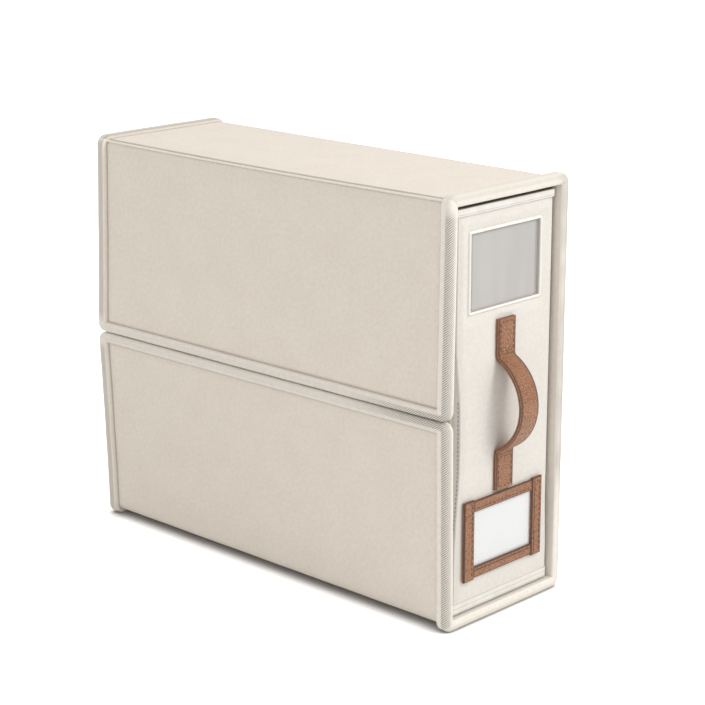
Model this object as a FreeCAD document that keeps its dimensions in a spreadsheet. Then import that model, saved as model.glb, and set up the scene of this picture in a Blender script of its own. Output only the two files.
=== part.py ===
"""Bed sheet organizer: a stiff fabric sleeve that opens along one long side, round a pull-out drawer.

The drawer's front faces -Y, the two flaps are on the -X side, and +Z is up. The origin is on the
floor, under the middle of the sleeve. Every size is in millimetres.
"""
import FreeCAD
import Part
import math
import os
import re
import Sketcher

# Driving sizes, each written once: alias, value, meaning

SIZES = (
    ("length", 373.0, "sleeve, front rim to rear rim"),
    ("width", 131.0, "sleeve, flap side to wall side"),
    ("height", 318.0, "sleeve, floor to the top of the rims"),
    ("corner", 8.0, "outer rounding of the rims where two panels meet"),
    ("fold_round", 3.0, "rounding of the covers where two panels meet"),
    ("proud", 3.0, "height of a bound edge above the outer covers"),
    ("cover", 1.25, "outer cover fabric with its thin padding"),
    ("board", 3.0, "stiffening board of a sleeve panel"),
    ("lining", 1.25, "inner lining of a sleeve panel"),
    ("tape", 10.0, "reach of the edge binding over the faces, front and rear"),
    ("edge_tape", 8.0, "reach of the edge binding over the faces, free edge of a flap"),
    ("web", 2.5, "edge binding, thickness round the board's edge"),
    ("bead", 3.2, "rounding of a bound edge, outer side"),
    ("inner_bead", 1.8, "rounding of a bound edge, inner side"),
    ("flap_corner", 7.0, "rounding of a flap's free corners"),
    ("fold_gap", 0.3, "clearance on each side of a mitred fold"),
    ("split", 157.5, "height of the lower flap's free edge"),
    ("split_gap", 1.0, "gap between the free edges of the two flaps"),
    ("magnet_length", 24.0, "closing magnet, along the free edge"),
    ("magnet_depth", 8.0, "closing magnet, into the board"),
    ("magnet_pitch", 130.0, "distance between closing magnets"),
    ("front_recess", 4.0, "front rim to the drawer's hems"),
    ("rear_recess", 4.0, "rear rim to the drawer's hems"),
    ("side_gap", 1.8, "drawer hem to sleeve wall"),
    ("top_gap", 1.9, "drawer hem to sleeve top"),
    ("slide_gap", 0.3, "drawer to sleeve floor"),
    ("drawer_cover", 1.0, "outer fabric of the drawer"),
    ("drawer_board", 3.0, "stiffening board of the drawer"),
    ("drawer_lining", 1.0, "lining of the drawer"),
    ("hem_proud", 1.2, "height of the drawer's hems above its cover"),
    ("top_hem", 6.6, "height of the top hem"),
    ("bottom_hem", 7.8, "height of the bottom hem"),
    ("window_width", 75.0, "clear width of the window"),
    ("window_height", 54.5, "clear height of the window"),
    ("window_drop", 20.8, "drawer's top edge to the clear window"),
    ("film_margin", 4.0, "window film behind the cover, each side"),
    ("film", 0.5, "window film thickness"),
    ("piping", 2.5, "width of the window's piping"),
    ("piping_proud", 1.2, "height of the window's piping above the cover"),
    ("piping_round", 1.0, "rounding of the window's piping"),
    ("strap_width", 19.0, "handle strap"),
    ("outer_leather", 1.6, "handle strap, outer layer"),
    ("backing_leather", 1.4, "handle strap, backing layer"),
    ("lower_tab", 27.0, "handle, sewn lower end"),
    ("upper_tab", 26.5, "handle, sewn upper end"),
    ("bend_radius", 10.0, "handle, bend beside a tab"),
    ("loop_rise", 22.5, "handle, finger room under the bow"),
    ("handle_lift", 1.1, "label holder to the handle's lower tab"),
    ("handle_drop", 8.0, "window's piping to the handle's upper tab"),
    ("stitch", 3.0, "length of a stitch"),
    ("stitch_pitch", 4.2, "distance between stitches, about"),
    ("thread", 0.6, "width of a stitch"),
    ("thread_proud", 0.35, "height of a stitch above the leather"),
    ("stitch_inset", 2.4, "stitches to the leather's edge"),
    ("card_width", 76.0, "label card"),
    ("card_height", 50.0, "label card"),
    ("card_thickness", 0.5, "label card"),
    ("card_gap", 0.2, "clearance in front of and behind the label card"),
    ("card_edge_gap", 0.3, "clearance round the label card's edges"),
    ("side_lip", 5.1, "label frame over the card, left and right"),
    ("end_lip", 3.9, "label frame over the card, top and bottom"),
    ("side_strip", 10.75, "width of the label frame's upright strips"),
    ("end_strip", 8.2, "width of the label frame's level strips"),
    ("strip_over", 1.0, "upright strips beyond the level ones"),
    ("strip_step", 0.4, "upright strips in front of the level ones"),
    ("strip_leather", 1.5, "label frame leather over the card"),
    ("pocket_film", 0.4, "clear sheet in front of the card"),
    ("label_lift", 23.8, "drawer's underside to the label frame"),
)

# Sizes that follow from the driving ones, as formulas

DERIVED = {
    "rim": "(proud + cover + board + lining)",
    "upper_span": "(height - split - split_gap)",
    "drawer_half": "(width / 2 - rim - side_gap)",
    "panel_half": "(drawer_half - hem_proud)",
    "front_hem_y": "(front_recess - length / 2)",
    "back_hem_y": "(length / 2 - rear_recess)",
    "front_y": "(front_hem_y + hem_proud)",
    "back_y": "(back_hem_y - hem_proud)",
    "drawer_low": "(rim + slide_gap)",
    "drawer_top": "(height - rim - top_gap)",
    "wall_top": "(drawer_top - hem_proud)",
    "window_low": "(drawer_top - window_drop - window_height)",
    "passage": "(2 * card_gap + card_thickness)",
    "frame_depth": "(passage + pocket_film)",
    "opening_half": "(card_width / 2 - side_lip)",
    "opening_half_up": "(card_height / 2 - end_lip)",
    "frame_half": "(opening_half + side_strip)",
    "frame_half_up": "(opening_half_up + end_strip)",
    "label_mid": "(drawer_low + label_lift + strip_over + frame_half_up)",
    "handle_low": "(label_mid + frame_half_up + strip_over + handle_lift)",
    "handle_high": "(window_low - piping - handle_drop)",
    "loop_span": "(handle_high - upper_tab - lower_tab - handle_low)",
    "loop_reach": "((loop_span * loop_span + 4 * loop_rise * loop_rise) / (8 * loop_rise))",
    "loop_radius": "(loop_reach - bend_radius)",
    "strap": "(outer_leather + backing_leather)",
    "seat_half": "(card_height / 2 + card_edge_gap)",
}

WORD = re.compile("[a-z_]+")
ALIASES = {alias for alias, value, meaning in SIZES}
MAGNETS = (-1, 0, 1)
SPARE = 1.0
EXACT = 1e-4

doc = FreeCAD.newDocument("sheet_organizer")
sheet = doc.addObject("Spreadsheet::Sheet", "sizes")
for row, (alias, value, meaning) in enumerate(SIZES, 1):
    sheet.set("A%d" % row, meaning)
    sheet.set("B%d" % row, str(value))
    sheet.setAlias("B%d" % row, alias)
doc.recompute()

PARTS = []


def formula(text):
    """A formula in plain size names, as an expression on the sheet's cells."""
    def swap(match):
        name = match.group(0)
        if name in DERIVED:
            return formula(DERIVED[name])
        return "sizes." + name if name in ALIASES else name
    return WORD.sub(swap, text)


def number(text):
    """The present value of a formula, for places where the document needs a plain number."""
    def swap(match):
        name = match.group(0)
        if name in DERIVED:
            return "(%r)" % number(DERIVED[name])
        return repr(float(sheet.get(name)))
    return FreeCAD.Units.Quantity(WORD.sub(swap, text)).Value


def bind(item, **formulas):
    """Binds properties of an object to formulas. Two underscores in a name stand for a dot."""
    for name, text in formulas.items():
        item.setExpression(name.replace("__", "."), formula(text))


def keep(item, name):
    """Marks an object as one finished piece of the organizer."""
    item.Label = name
    PARTS.append(item)
    return item


# Sketches and bodies


def origin_plane(body, role):
    return next(item for item in body.Origin.OriginFeatures if item.Role == role)


def new_body(name, rotation, x="0", y="0", z="0"):
    body = doc.addObject("PartDesign::Body", name)
    body.Placement = FreeCAD.Placement(FreeCAD.Vector(), rotation)
    bind(body, Placement__Base__x=x, Placement__Base__y=y, Placement__Base__z=z)
    return body


def new_sketch(body, role, name, lift=None):
    sketch = body.newObject("Sketcher::SketchObject", body.Name + "_" + name)
    sketch.AttachmentSupport = [(origin_plane(body, role), "")]
    sketch.MapMode = "FlatFace"
    if lift:
        bind(sketch, AttachmentOffset__Base__z=lift)
    return sketch


def polygon(sketch, points):
    """A closed outline through points given as pairs of formulas, each fixed from the origin."""
    places = [FreeCAD.Vector(number(across), number(up)) for across, up in points]
    first = sketch.GeometryCount
    count = len(places)
    for index, place in enumerate(places):
        sketch.addGeometry(Part.LineSegment(place, places[(index + 1) % count]))
    for index in range(count):
        after = first + (index + 1) % count
        sketch.addConstraint(Sketcher.Constraint("Coincident", first + index, 2, after, 1))
    for index, (across, up) in enumerate(points):
        line = first + index
        pin(sketch, "DistanceX", line, 1, across)
        pin(sketch, "DistanceY", line, 1, up)


def pin(sketch, kind, line, end, text):
    """Fixes one coordinate of a point, measured from the sketch's origin."""
    if number(text) == 0:
        axis = -2 if kind == "DistanceX" else -1
        sketch.addConstraint(Sketcher.Constraint("PointOnObject", line, end, axis))
        return
    place = sketch.addConstraint(Sketcher.Constraint(kind, -1, 1, line, end, number(text)))
    sketch.setExpression("Constraints[%d]" % place, formula(text))


def rectangle(sketch, left, low, right, high):
    polygon(sketch, ((left, low), (right, low), (right, high), (left, high)))


def pad(body, sketch, depth, both=False):
    feature = body.newObject("PartDesign::Pad", sketch.Name + "_pad")
    feature.Profile = sketch
    feature.SideType = "Symmetric" if both else "One side"
    bind(feature, Length=depth)
    return feature


def pocket(body, sketch, depth=None, back=False):
    """Cuts a sketch out of its body, and makes sure that it removed something."""
    doc.recompute()
    before = body.Shape.Volume
    feature = body.newObject("PartDesign::Pocket", sketch.Name + "_pocket")
    feature.Profile = sketch
    feature.Reversed = back
    if depth is None:
        feature.Type = "ThroughAll"
        feature.SideType = "Symmetric"
    else:
        bind(feature, Length=depth)
    doc.recompute()
    if body.Shape.Volume > before - SPARE:
        raise RuntimeError(feature.Name + " cuts nothing")
    return feature


def fillet(body, name, radius, chosen):
    """Rounds the edges of a body that the test picks out."""
    doc.recompute()
    base = body.Tip
    names = ["Edge%d" % (index + 1) for index, edge in enumerate(base.Shape.Edges) if chosen(edge)]
    if not names:
        raise RuntimeError(body.Name + " has no edge for " + name)
    feature = body.newObject("PartDesign::Fillet", body.Name + "_" + name)
    feature.Base = (base, names)
    bind(feature, Radius=radius)
    doc.recompute()
    return feature


def runs_along(edge, axis):
    """True for a straight edge along one of the axes, numbered 0 to 2."""
    if not isinstance(edge.Curve, Part.Line):
        return False
    return abs(abs(edge.Curve.Direction[axis]) - 1) < EXACT


def lies_at(edge, axis, place):
    """True for an edge that lies wholly in the plane at that place on an axis."""
    box = edge.BoundBox
    low = (box.XMin, box.YMin, box.ZMin)[axis]
    high = (box.XMax, box.YMax, box.ZMax)[axis]
    return abs(low - place) < EXACT and abs(high - place) < EXACT


def box(name, x, y, z):
    """A plain block between pairs of formulas along each axis."""
    block = doc.addObject("Part::Box", name)
    bind(block, Placement__Base__x=x[0], Placement__Base__y=y[0], Placement__Base__z=z[0])
    for side, (low, high) in (("Length", x), ("Width", y), ("Height", z)):
        block.setExpression(side, formula("(%s) - (%s)" % (high, low)))
    return block


def shared(name, *items):
    """The space that several objects have in common."""
    common = doc.addObject("Part::MultiCommon", name)
    common.Shapes = list(items)
    return common


def without(name, base, *tools):
    """A piece less the objects that are cut from it."""
    for index, tool in enumerate(tools):
        cut = doc.addObject("Part::Cut", "%s_cut_%d" % (name, index))
        cut.Base = base
        cut.Tool = tool
        base = cut
    return base


# The five panels of the sleeve. In a panel's own frame X runs across the panel from its first fold,
# Y along the sleeve, and Z inwards from the plane of the bound edges.

TURN = {
    "base": FreeCAD.Rotation(),
    "wall": FreeCAD.Rotation(FreeCAD.Vector(0, 1, 0), -90),
    "top": FreeCAD.Rotation(FreeCAD.Vector(0, 1, 0), 180),
    "upper_flap": FreeCAD.Rotation(FreeCAD.Vector(0, 1, 0), 90),
    "lower_flap": FreeCAD.Rotation(FreeCAD.Vector(0, 0, 1), 180)
    * FreeCAD.Rotation(FreeCAD.Vector(0, 1, 0), -90),
}
CORNER = {
    "base": ("-width / 2", "0"),
    "wall": ("width / 2", "0"),
    "top": ("width / 2", "height"),
    "upper_flap": ("-width / 2", "height"),
    "lower_flap": ("-width / 2", "0"),
}
SPAN = {
    "base": "width",
    "wall": "height",
    "top": "width",
    "upper_flap": "upper_span",
    "lower_flap": "split",
}
FLAPS = ("upper_flap", "lower_flap")


def panel_body(panel, name, y="0"):
    x, z = CORNER[panel]
    return new_body(panel + "_" + name, TURN[panel], x, y, z)


def layer(panel, name, low, high, depth, free_inset="0"):
    """One layer of a panel: mitred at its folds, and square at the free edge of a flap."""
    body = panel_body(panel, name)
    span = SPAN[panel]
    far_low = far_high = "%s - (%s)" % (span, free_inset)
    if panel not in FLAPS:
        far_low = "%s - (%s) - fold_gap" % (span, low)
        far_high = "%s - (%s) - fold_gap" % (span, high)
    sketch = new_sketch(body, "XZ_Plane", "section")
    polygon(sketch, (
        ("(%s) + fold_gap" % low, low),
        (far_low, low),
        (far_high, high),
        ("(%s) + fold_gap" % high, high),
    ))
    pad(body, sketch, depth, both=True)
    return body


def free_corners(panel, inset):
    """Picks the two upright edges at a flap's free corners."""
    span = number("%s - (%s)" % (SPAN[panel], inset))
    return lambda edge: runs_along(edge, 2) and lies_at(edge, 0, span)


def outline(name, inset, radius):
    """The sleeve's rounded outline as one long block, drawn in by an inset."""
    body = new_body(name, FreeCAD.Rotation(), "-width / 2", "0", "0")
    sketch = new_sketch(body, "XZ_Plane", "section")
    rectangle(sketch, inset, inset, "width - (%s)" % inset, "height - (%s)" % inset)
    pad(body, sketch, "length", both=True)
    fillet(body, "corners", radius, lambda edge: runs_along(edge, 1))
    return body


def upright_at(inset):
    """Picks the edges along the sleeve that stand at an inset from its sides."""
    near = number(inset)
    far = number("width - (%s)" % inset)
    return lambda edge: runs_along(edge, 1) and (lies_at(edge, 0, near) or lies_at(edge, 0, far))


def rim(name, rotation, x, y):
    """A whole bound rim: a rounded ring with a groove for the panels' edges behind it."""
    body = new_body(name, rotation, x, y, "0")
    ring = new_sketch(body, "XZ_Plane", "outside")
    rectangle(ring, "0", "0", "width", "height")
    pad(body, ring, "tape")
    mouth = new_sketch(body, "XZ_Plane", "mouth")
    rectangle(mouth, "rim", "rim", "width - rim", "height - rim")
    pocket(body, mouth)
    groove = new_sketch(body, "XZ_Plane", "groove")
    rectangle(groove, "proud", "proud", "width - proud", "height - proud")
    inner = "(rim - lining)"
    rectangle(groove, inner, inner, "width - " + inner, "height - " + inner)
    pocket(body, groove, "tape - web", back=True)
    fillet(body, "groove_corners", "fold_round", upright_at("proud"))
    fillet(body, "corners", "corner", upright_at("0"))
    front = -number("tape")
    fillet(body, "bead", "bead", lambda edge: lies_at(edge, 1, front) and not round_mouth(edge))
    fillet(body, "inner_bead", "inner_bead", lambda edge: lies_at(edge, 1, front) and round_mouth(edge))
    return body


def round_mouth(edge):
    """True for the edges round the mouth of a rim."""
    sides = [(0, number(place)) for place in ("rim", "width - rim")]
    ends = [(2, number(place)) for place in ("rim", "height - rim")]
    return any(lies_at(edge, axis, place) for axis, place in sides + ends)


def flap_binding(flap):
    """The U-shaped binding of a flap: front edge, free edge and rear edge in one strip."""
    lift = "-length / 2" if flap == "upper_flap" else "length / 2"
    body = panel_body(flap, "binding_blank", lift)
    span = SPAN[flap]
    plate = new_sketch(body, "XY_Plane", "outside")
    rectangle(plate, "0", "0", span, "length")
    pad(body, plate, "rim")
    middle = new_sketch(body, "XY_Plane", "middle")
    rectangle(middle, "0", "tape", span + " - edge_tape", "length - tape")
    pocket(body, middle)
    groove = new_sketch(body, "XY_Plane", "groove", "proud")
    rectangle(groove, "0", "web", span + " - web", "length - web")
    pocket(body, groove, "cover + board", back=True)
    fillet(body, "groove_corners", "flap_corner - web", free_corners(flap, "web"))
    fillet(body, "corners", "flap_corner", free_corners(flap, "0"))
    low = number("tape") - SPARE
    high = number("length - tape") + SPARE
    end = number(span + " - edge_tape") + SPARE

    def perimeter(edge):
        extent = edge.BoundBox
        if extent.XMax < SPARE:
            return False
        return extent.YMax < low or extent.YMin > high or extent.XMin > end

    fillet(body, "bead", "bead", lambda edge: lies_at(edge, 2, 0) and perimeter(edge))
    inside = number("rim")
    fillet(body, "inner_bead", "inner_bead", lambda edge: lies_at(edge, 2, inside) and perimeter(edge))
    return body


def magnets(flap):
    """Bar magnets, let into the free edge of a flap's board."""
    bars = []
    for index, side in enumerate(MAGNETS):
        bar = doc.addObject("Part::Box", "%s_magnet_%d" % (flap, index))
        bar.Placement = FreeCAD.Placement(FreeCAD.Vector(), TURN[flap])
        bind(bar, Length="magnet_depth", Width="magnet_length", Height="board")
        x, z = CORNER[flap]
        inward = "proud + cover"
        down = "%s - web - magnet_depth" % SPAN[flap]
        if flap == "upper_flap":
            middle = "%d * magnet_pitch - magnet_length / 2" % side
            bind(bar, Placement__Base__x="%s + %s" % (x, inward), Placement__Base__y=middle,
                 Placement__Base__z="%s - (%s)" % (z, down))
        else:
            middle = "%d * magnet_pitch + magnet_length / 2" % side
            bind(bar, Placement__Base__x="%s + %s" % (x, inward), Placement__Base__y=middle,
                 Placement__Base__z=down)
        bars.append(bar)
    group = doc.addObject("Part::MultiFuse", flap + "_magnets")
    group.Shapes = bars
    return group


def make_sleeve():
    """Five panels of board between a cover and a lining, with bound front and rear edges."""
    rim_outline = outline("rim_outline", "0", "corner")
    fold_outline = outline("fold_outline", "proud", "fold_round")
    front_rim = rim("front_rim", FreeCAD.Rotation(), "-width / 2", "tape - length / 2")
    back_turn = FreeCAD.Rotation(FreeCAD.Vector(0, 0, 1), 180)
    rear_rim = rim("rear_rim", back_turn, "width / 2", "length / 2 - tape")
    for panel in ("base", "wall", "top", "upper_flap", "lower_flap"):
        inner = "length - 2 * web"
        cover = layer(panel, "cover_blank", "proud", "proud + cover", inner, "web")
        board = layer(panel, "board_blank", "proud + cover", "rim - lining", inner, "web")
        lining = layer(panel, "lining", "rim - lining", "rim", "length - 2 * tape", "edge_tape")
        sector = layer(panel, "sector", "0", "rim + bead", "length")
        if panel in FLAPS:
            for blank in (cover, board):
                fillet(blank, "corners", "flap_corner - web", free_corners(panel, "web"))
            held = magnets(panel)
            board = without(panel + "_board_notched", board, held)
            keep(held, panel + "_magnets")
            binding = shared(panel + "_binding", flap_binding(panel), sector, rim_outline)
            keep(binding, panel + "_binding")
        else:
            for end, ring in (("front", front_rim), ("rear", rear_rim)):
                name = "%s_%s_binding" % (panel, end)
                keep(shared(name, ring, sector), name)
        keep(shared(panel + "_cover", cover, fold_outline), panel + "_cover")
        keep(board, panel + "_board")
        keep(lining, panel + "_lining")


# The drawer: an open-topped box of boards, covered outside and lined inside

OUTER = "drawer_cover"
CORE = "(drawer_cover + drawer_board)"
INNER = "(drawer_cover + drawer_board + drawer_lining)"


def drawer_walls():
    """Back, side and floor panels. The front is made on its own, round the window."""
    deep = ("front_y + drawer_cover", "back_y - drawer_cover")
    deeper = ("front_y + " + CORE, "back_y - " + CORE)
    deepest = ("front_y + " + INNER, "back_y - " + INNER)
    over_cover = ("drawer_low + drawer_cover", "wall_top")
    over_board = ("drawer_low + " + CORE, "wall_top")
    keep(box("drawer_back_cover", ("-panel_half", "panel_half"),
             ("back_y - " + OUTER, "back_y"), ("drawer_low", "wall_top")), "drawer_back_cover")
    keep(box("drawer_back_board", ("-panel_half + " + OUTER, "panel_half - " + OUTER),
             ("back_y - " + CORE, "back_y - " + OUTER), over_cover), "drawer_back_board")
    keep(box("drawer_back_lining", ("-panel_half + " + CORE, "panel_half - " + CORE),
             ("back_y - " + INNER, "back_y - " + CORE), over_board), "drawer_back_lining")
    for side, low, high in (("left", "-panel_half + %s", "-panel_half + %s"),
                            ("right", "panel_half - %s", "panel_half - %s")):
        def across(outer, inner):
            pair = (low % outer, high % inner)
            return pair if side == "left" else pair[::-1]
        keep(box("drawer_%s_cover" % side, across("0", OUTER), deep,
                 ("drawer_low", "wall_top")), "drawer_%s_cover" % side)
        keep(box("drawer_%s_board" % side, across(OUTER, CORE), deeper, over_cover),
             "drawer_%s_board" % side)
        keep(box("drawer_%s_lining" % side, across(CORE, INNER), deepest, over_board),
             "drawer_%s_lining" % side)
    keep(box("drawer_floor_cover", ("-panel_half + " + OUTER, "panel_half - " + OUTER), deep,
             ("drawer_low", "drawer_low + " + OUTER)), "drawer_floor_cover")
    keep(box("drawer_floor_board", ("-panel_half + " + CORE, "panel_half - " + CORE), deeper,
             ("drawer_low + " + OUTER, "drawer_low + " + CORE)), "drawer_floor_board")
    keep(box("drawer_floor_lining", ("-panel_half + " + INNER, "panel_half - " + INNER), deepest,
             ("drawer_low + " + CORE, "drawer_low + " + INNER)), "drawer_floor_lining")


def front_plate(name, depth, thickness, inset, low):
    """One layer of the drawer's front, with the window cut through it."""
    half = "(panel_half - %s)" % inset
    body = new_body(name, FreeCAD.Rotation(), "-" + half, "front_y + %s + %s" % (depth, thickness),
                    "drawer_low + " + low)
    plate = new_sketch(body, "XZ_Plane", "outside")
    rectangle(plate, "0", "0", "2 * " + half, "wall_top - drawer_low - " + low)
    pad(body, plate, thickness)
    window = new_sketch(body, "XZ_Plane", "window")
    left = half + " - window_width / 2"
    sill = "window_low - drawer_low - " + low
    rectangle(window, left, sill, left + " + window_width", sill + " + window_height")
    pocket(body, window)
    return keep(body, name), left, sill


def drawer_front():
    """The drawer's front: cover, board with a seat for the film, lining, film and piping."""
    front_plate("drawer_front_cover", "0", "drawer_cover", "0", "0")
    board, left, sill = front_plate("drawer_front_board", "drawer_cover", "drawer_board",
                                    "drawer_cover", "drawer_cover")
    seat = new_sketch(board, "XZ_Plane", "film_seat", "drawer_board")
    rectangle(seat, left + " - film_margin", sill + " - film_margin",
              left + " + window_width + film_margin", sill + " + window_height + film_margin")
    pocket(board, seat, "film")
    front_plate("drawer_front_lining", CORE, "drawer_lining", CORE, CORE)
    film_back = "front_y + drawer_cover + film"
    keep(box("window_film", ("-window_width / 2 - film_margin", "window_width / 2 + film_margin"),
             ("front_y + drawer_cover", film_back),
             ("window_low - film_margin", "window_low + window_height + film_margin")),
         "window_film")
    frame = new_body("window_piping", FreeCAD.Rotation(), "-window_width / 2 - piping", "front_y",
                     "window_low - piping")
    ring = new_sketch(frame, "XZ_Plane", "section")
    rectangle(ring, "0", "0", "window_width + 2 * piping", "window_height + 2 * piping")
    rectangle(ring, "piping", "piping", "window_width + piping", "window_height + piping")
    pad(frame, ring, "piping_proud")
    front = -number("piping_proud")
    fillet(frame, "roll", "piping_round", lambda edge: lies_at(edge, 1, front))
    keep(frame, "window_piping")


def hem(name, low, high, reach_in, closed_top):
    """A band round the drawer. A closed top wraps over the walls' edges and down inside."""
    body = new_body(name, FreeCAD.Rotation(), "-drawer_half", "front_hem_y", low)
    band = new_sketch(body, "XY_Plane", "outside")
    deep = "(back_hem_y - front_hem_y)"
    rectangle(band, "0", "0", "2 * drawer_half", deep)
    pad(body, band, "%s - (%s)" % (high, low))
    hollow = new_sketch(body, "XY_Plane", "inside")
    rectangle(hollow, reach_in, reach_in, "2 * drawer_half - (%s)" % reach_in,
              "%s - (%s)" % (deep, reach_in))
    pocket(body, hollow)
    if closed_top:
        groove = new_sketch(body, "XY_Plane", "groove")
        wall = "(hem_proud + %s)" % INNER
        rectangle(groove, "hem_proud", "hem_proud", "2 * drawer_half - hem_proud", deep + " - hem_proud")
        rectangle(groove, wall, wall, "2 * drawer_half - " + wall, deep + " - " + wall)
        pocket(body, groove, "top_hem - hem_proud", back=True)
    return keep(body, name)


def drawer_hems():
    hem("drawer_top_hem", "drawer_top - top_hem", "drawer_top", "2 * hem_proud + " + INNER, True)
    hem("drawer_bottom_hem", "drawer_low", "drawer_low + bottom_hem", "hem_proud", False)


# The strap handle


def strap_path(body):
    """The strap's side view: up the lower tab, out and round the bow, and up the upper tab."""
    sketch = new_sketch(body, "YZ_Plane", "path")
    bend = number("bend_radius")
    loop = number("loop_radius")
    tab = number("lower_tab")
    span = number("loop_span")
    turn = 2 * math.atan2(number("loop_rise"), span / 2)
    normal = FreeCAD.Vector(0, 0, 1)

    def arc(x, y, radius, start, end):
        circle = Part.Circle(FreeCAD.Vector(x, y), normal, radius)
        return sketch.addGeometry(Part.ArcOfCircle(circle, start, end))

    start = FreeCAD.Vector(0, 0)
    foot = FreeCAD.Vector(0, tab)
    head = FreeCAD.Vector(0, tab + span)
    lower = sketch.addGeometry(Part.LineSegment(start, foot))
    out = arc(bend, tab, bend, math.pi - turn, math.pi)
    bow = arc(bend - (bend + loop) * math.cos(turn), tab + span / 2, loop, -turn, turn)
    back = arc(bend, tab + span, bend, math.pi, math.pi + turn)
    top = FreeCAD.Vector(0, tab + span + number("upper_tab"))
    upper = sketch.addGeometry(Part.LineSegment(head, top))
    joins = ((lower, 2, out, 2), (out, 1, bow, 1), (bow, 2, back, 2), (back, 1, upper, 1))
    sketch.addConstraint(Sketcher.Constraint("Coincident", lower, 1, -1, 1))
    sketch.addConstraint(Sketcher.Constraint("Vertical", lower))
    for one, one_end, other, other_end in joins:
        sketch.addConstraint(Sketcher.Constraint("Tangent", one, one_end, other, other_end))
    sketch.addConstraint(Sketcher.Constraint("Vertical", upper))
    sketch.addConstraint(Sketcher.Constraint("PointOnObject", upper, 1, -2))
    for curve, radius in ((out, "bend_radius"), (bow, "loop_radius"), (back, "bend_radius")):
        place = sketch.addConstraint(Sketcher.Constraint("Radius", curve, number(radius)))
        sketch.setExpression("Constraints[%d]" % place, formula(radius))
    pin(sketch, "DistanceY", lower, 2, "lower_tab")
    pin(sketch, "DistanceY", upper, 1, "lower_tab + loop_span")
    pin(sketch, "DistanceY", upper, 2, "lower_tab + loop_span + upper_tab")
    return sketch


def strap_layer(name, near, far):
    """One layer of the strap, swept along its side view."""
    turn = FreeCAD.Rotation(FreeCAD.Vector(0, 0, 1), 180)
    body = new_body(name, turn, "strap_width / 2", "front_y", "handle_low")
    path = strap_path(body)
    section = new_sketch(body, "XY_Plane", "section")
    rectangle(section, "0", near, "strap_width", far)
    sweep = body.newObject("PartDesign::AdditivePipe", name + "_sweep")
    sweep.Profile = section
    sweep.Spine = (path, [])
    return keep(body, name)


def block(x, y, z, size):
    """A stitch: a small block centred on a point."""
    corner = FreeCAD.Vector(x - size[0] / 2, y - size[1], z - size[2] / 2)
    return Part.makeBox(size[0], size[1], size[2], corner)


def stitch_row(start, end, face, upright):
    """Stitches along a straight line from start to end, on a face that looks forwards."""
    run = math.dist(start, end)
    count = max(int(run / number("stitch_pitch")), 1)
    thread = number("thread")
    height = number("thread_proud")
    long = number("stitch")
    size = (thread, height, long) if upright else (long, height, thread)
    stitches = []
    for index in range(count):
        share = (index + 0.5) / count
        x = start[0] + (end[0] - start[0]) * share
        z = start[1] + (end[1] - start[1]) * share
        stitches.append(block(x, face, z, size))
    return stitches


def stitch_group(name, stitches):
    group = doc.addObject("Part::Feature", name)
    group.Shape = Part.makeCompound(stitches)
    return keep(group, name)


def tab_stitches(name, low, tab):
    """A closed rectangle of stitches that holds one end of the strap."""
    inset = number("stitch_inset")
    face = number("front_y - strap")
    across = number("strap_width") / 2 - inset
    bottom = low + inset
    top = low + tab - inset
    trim = number("thread")
    rows = []
    for side in (-across, across):
        rows += stitch_row((side, bottom + trim), (side, top - trim), face, True)
    for level in (bottom, top):
        rows += stitch_row((-across + trim, level), (across - trim, level), face, False)
    stitch_group(name, rows)


def make_handle():
    strap_layer("handle_backing", "0", "backing_leather")
    strap_layer("handle_leather", "backing_leather", "strap")
    tab_stitches("handle_lower_stitches", number("handle_low"), number("lower_tab"))
    high = number("handle_low + lower_tab + loop_span")
    tab_stitches("handle_upper_stitches", high, number("upper_tab"))


# The label holder


def strip(name, x, z, front, *seats):
    """A strip of the label frame, less the seats for the card and the clear sheet."""
    blank = box(name + "_blank", x, ("front_y - (%s)" % front, "front_y"), z)
    tools = []
    for index, (seat_x, seat_z, depth) in enumerate(seats):
        seat = box("%s_seat_%d" % (name, index), seat_x,
                   ("front_y - (%s)" % depth, "front_y + card_gap"), seat_z)
        tools.append(seat)
    return keep(without(name, blank, *tools), name)


def make_label():
    """Four leather strips round a clear sheet and a card, which slides out to the right."""
    mid = "label_mid + "
    level = "frame_depth + strip_leather"
    upright = level + " + strip_step"
    seat_z = (mid + "-seat_half", mid + "seat_half")
    tall = (mid + "-frame_half_up - strip_over", mid + "frame_half_up + strip_over")
    seat_reach = "(card_width / 2 + card_edge_gap)"
    between = ("-opening_half", "opening_half")
    strip("label_top_strip", between, (mid + "opening_half_up", mid + "frame_half_up"), level,
          (between, (mid + "opening_half_up", mid + "seat_half"), "frame_depth"))
    strip("label_bottom_strip", between, (mid + "-frame_half_up", mid + "-opening_half_up"), level,
          (between, (mid + "-seat_half", mid + "-opening_half_up"), "frame_depth"))
    strip("label_left_strip", ("-frame_half", "-opening_half"), tall, upright,
          (("-" + seat_reach, "-opening_half"), seat_z, "frame_depth"))
    strip("label_right_strip", ("opening_half", "frame_half"), tall, upright,
          (("opening_half", seat_reach), seat_z, "frame_depth"),
          (("opening_half", "frame_half"), seat_z, "passage"))
    card_x = ("-card_width / 2", "card_width / 2")
    card_z = (mid + "-card_height / 2", mid + "card_height / 2")
    keep(box("label_sheet", card_x, ("front_y - frame_depth", "front_y - passage"), card_z),
         "label_sheet")
    keep(box("label_card", card_x, ("front_y - card_gap - card_thickness", "front_y - card_gap"),
             card_z), "label_card")
    label_stitches()


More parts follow.
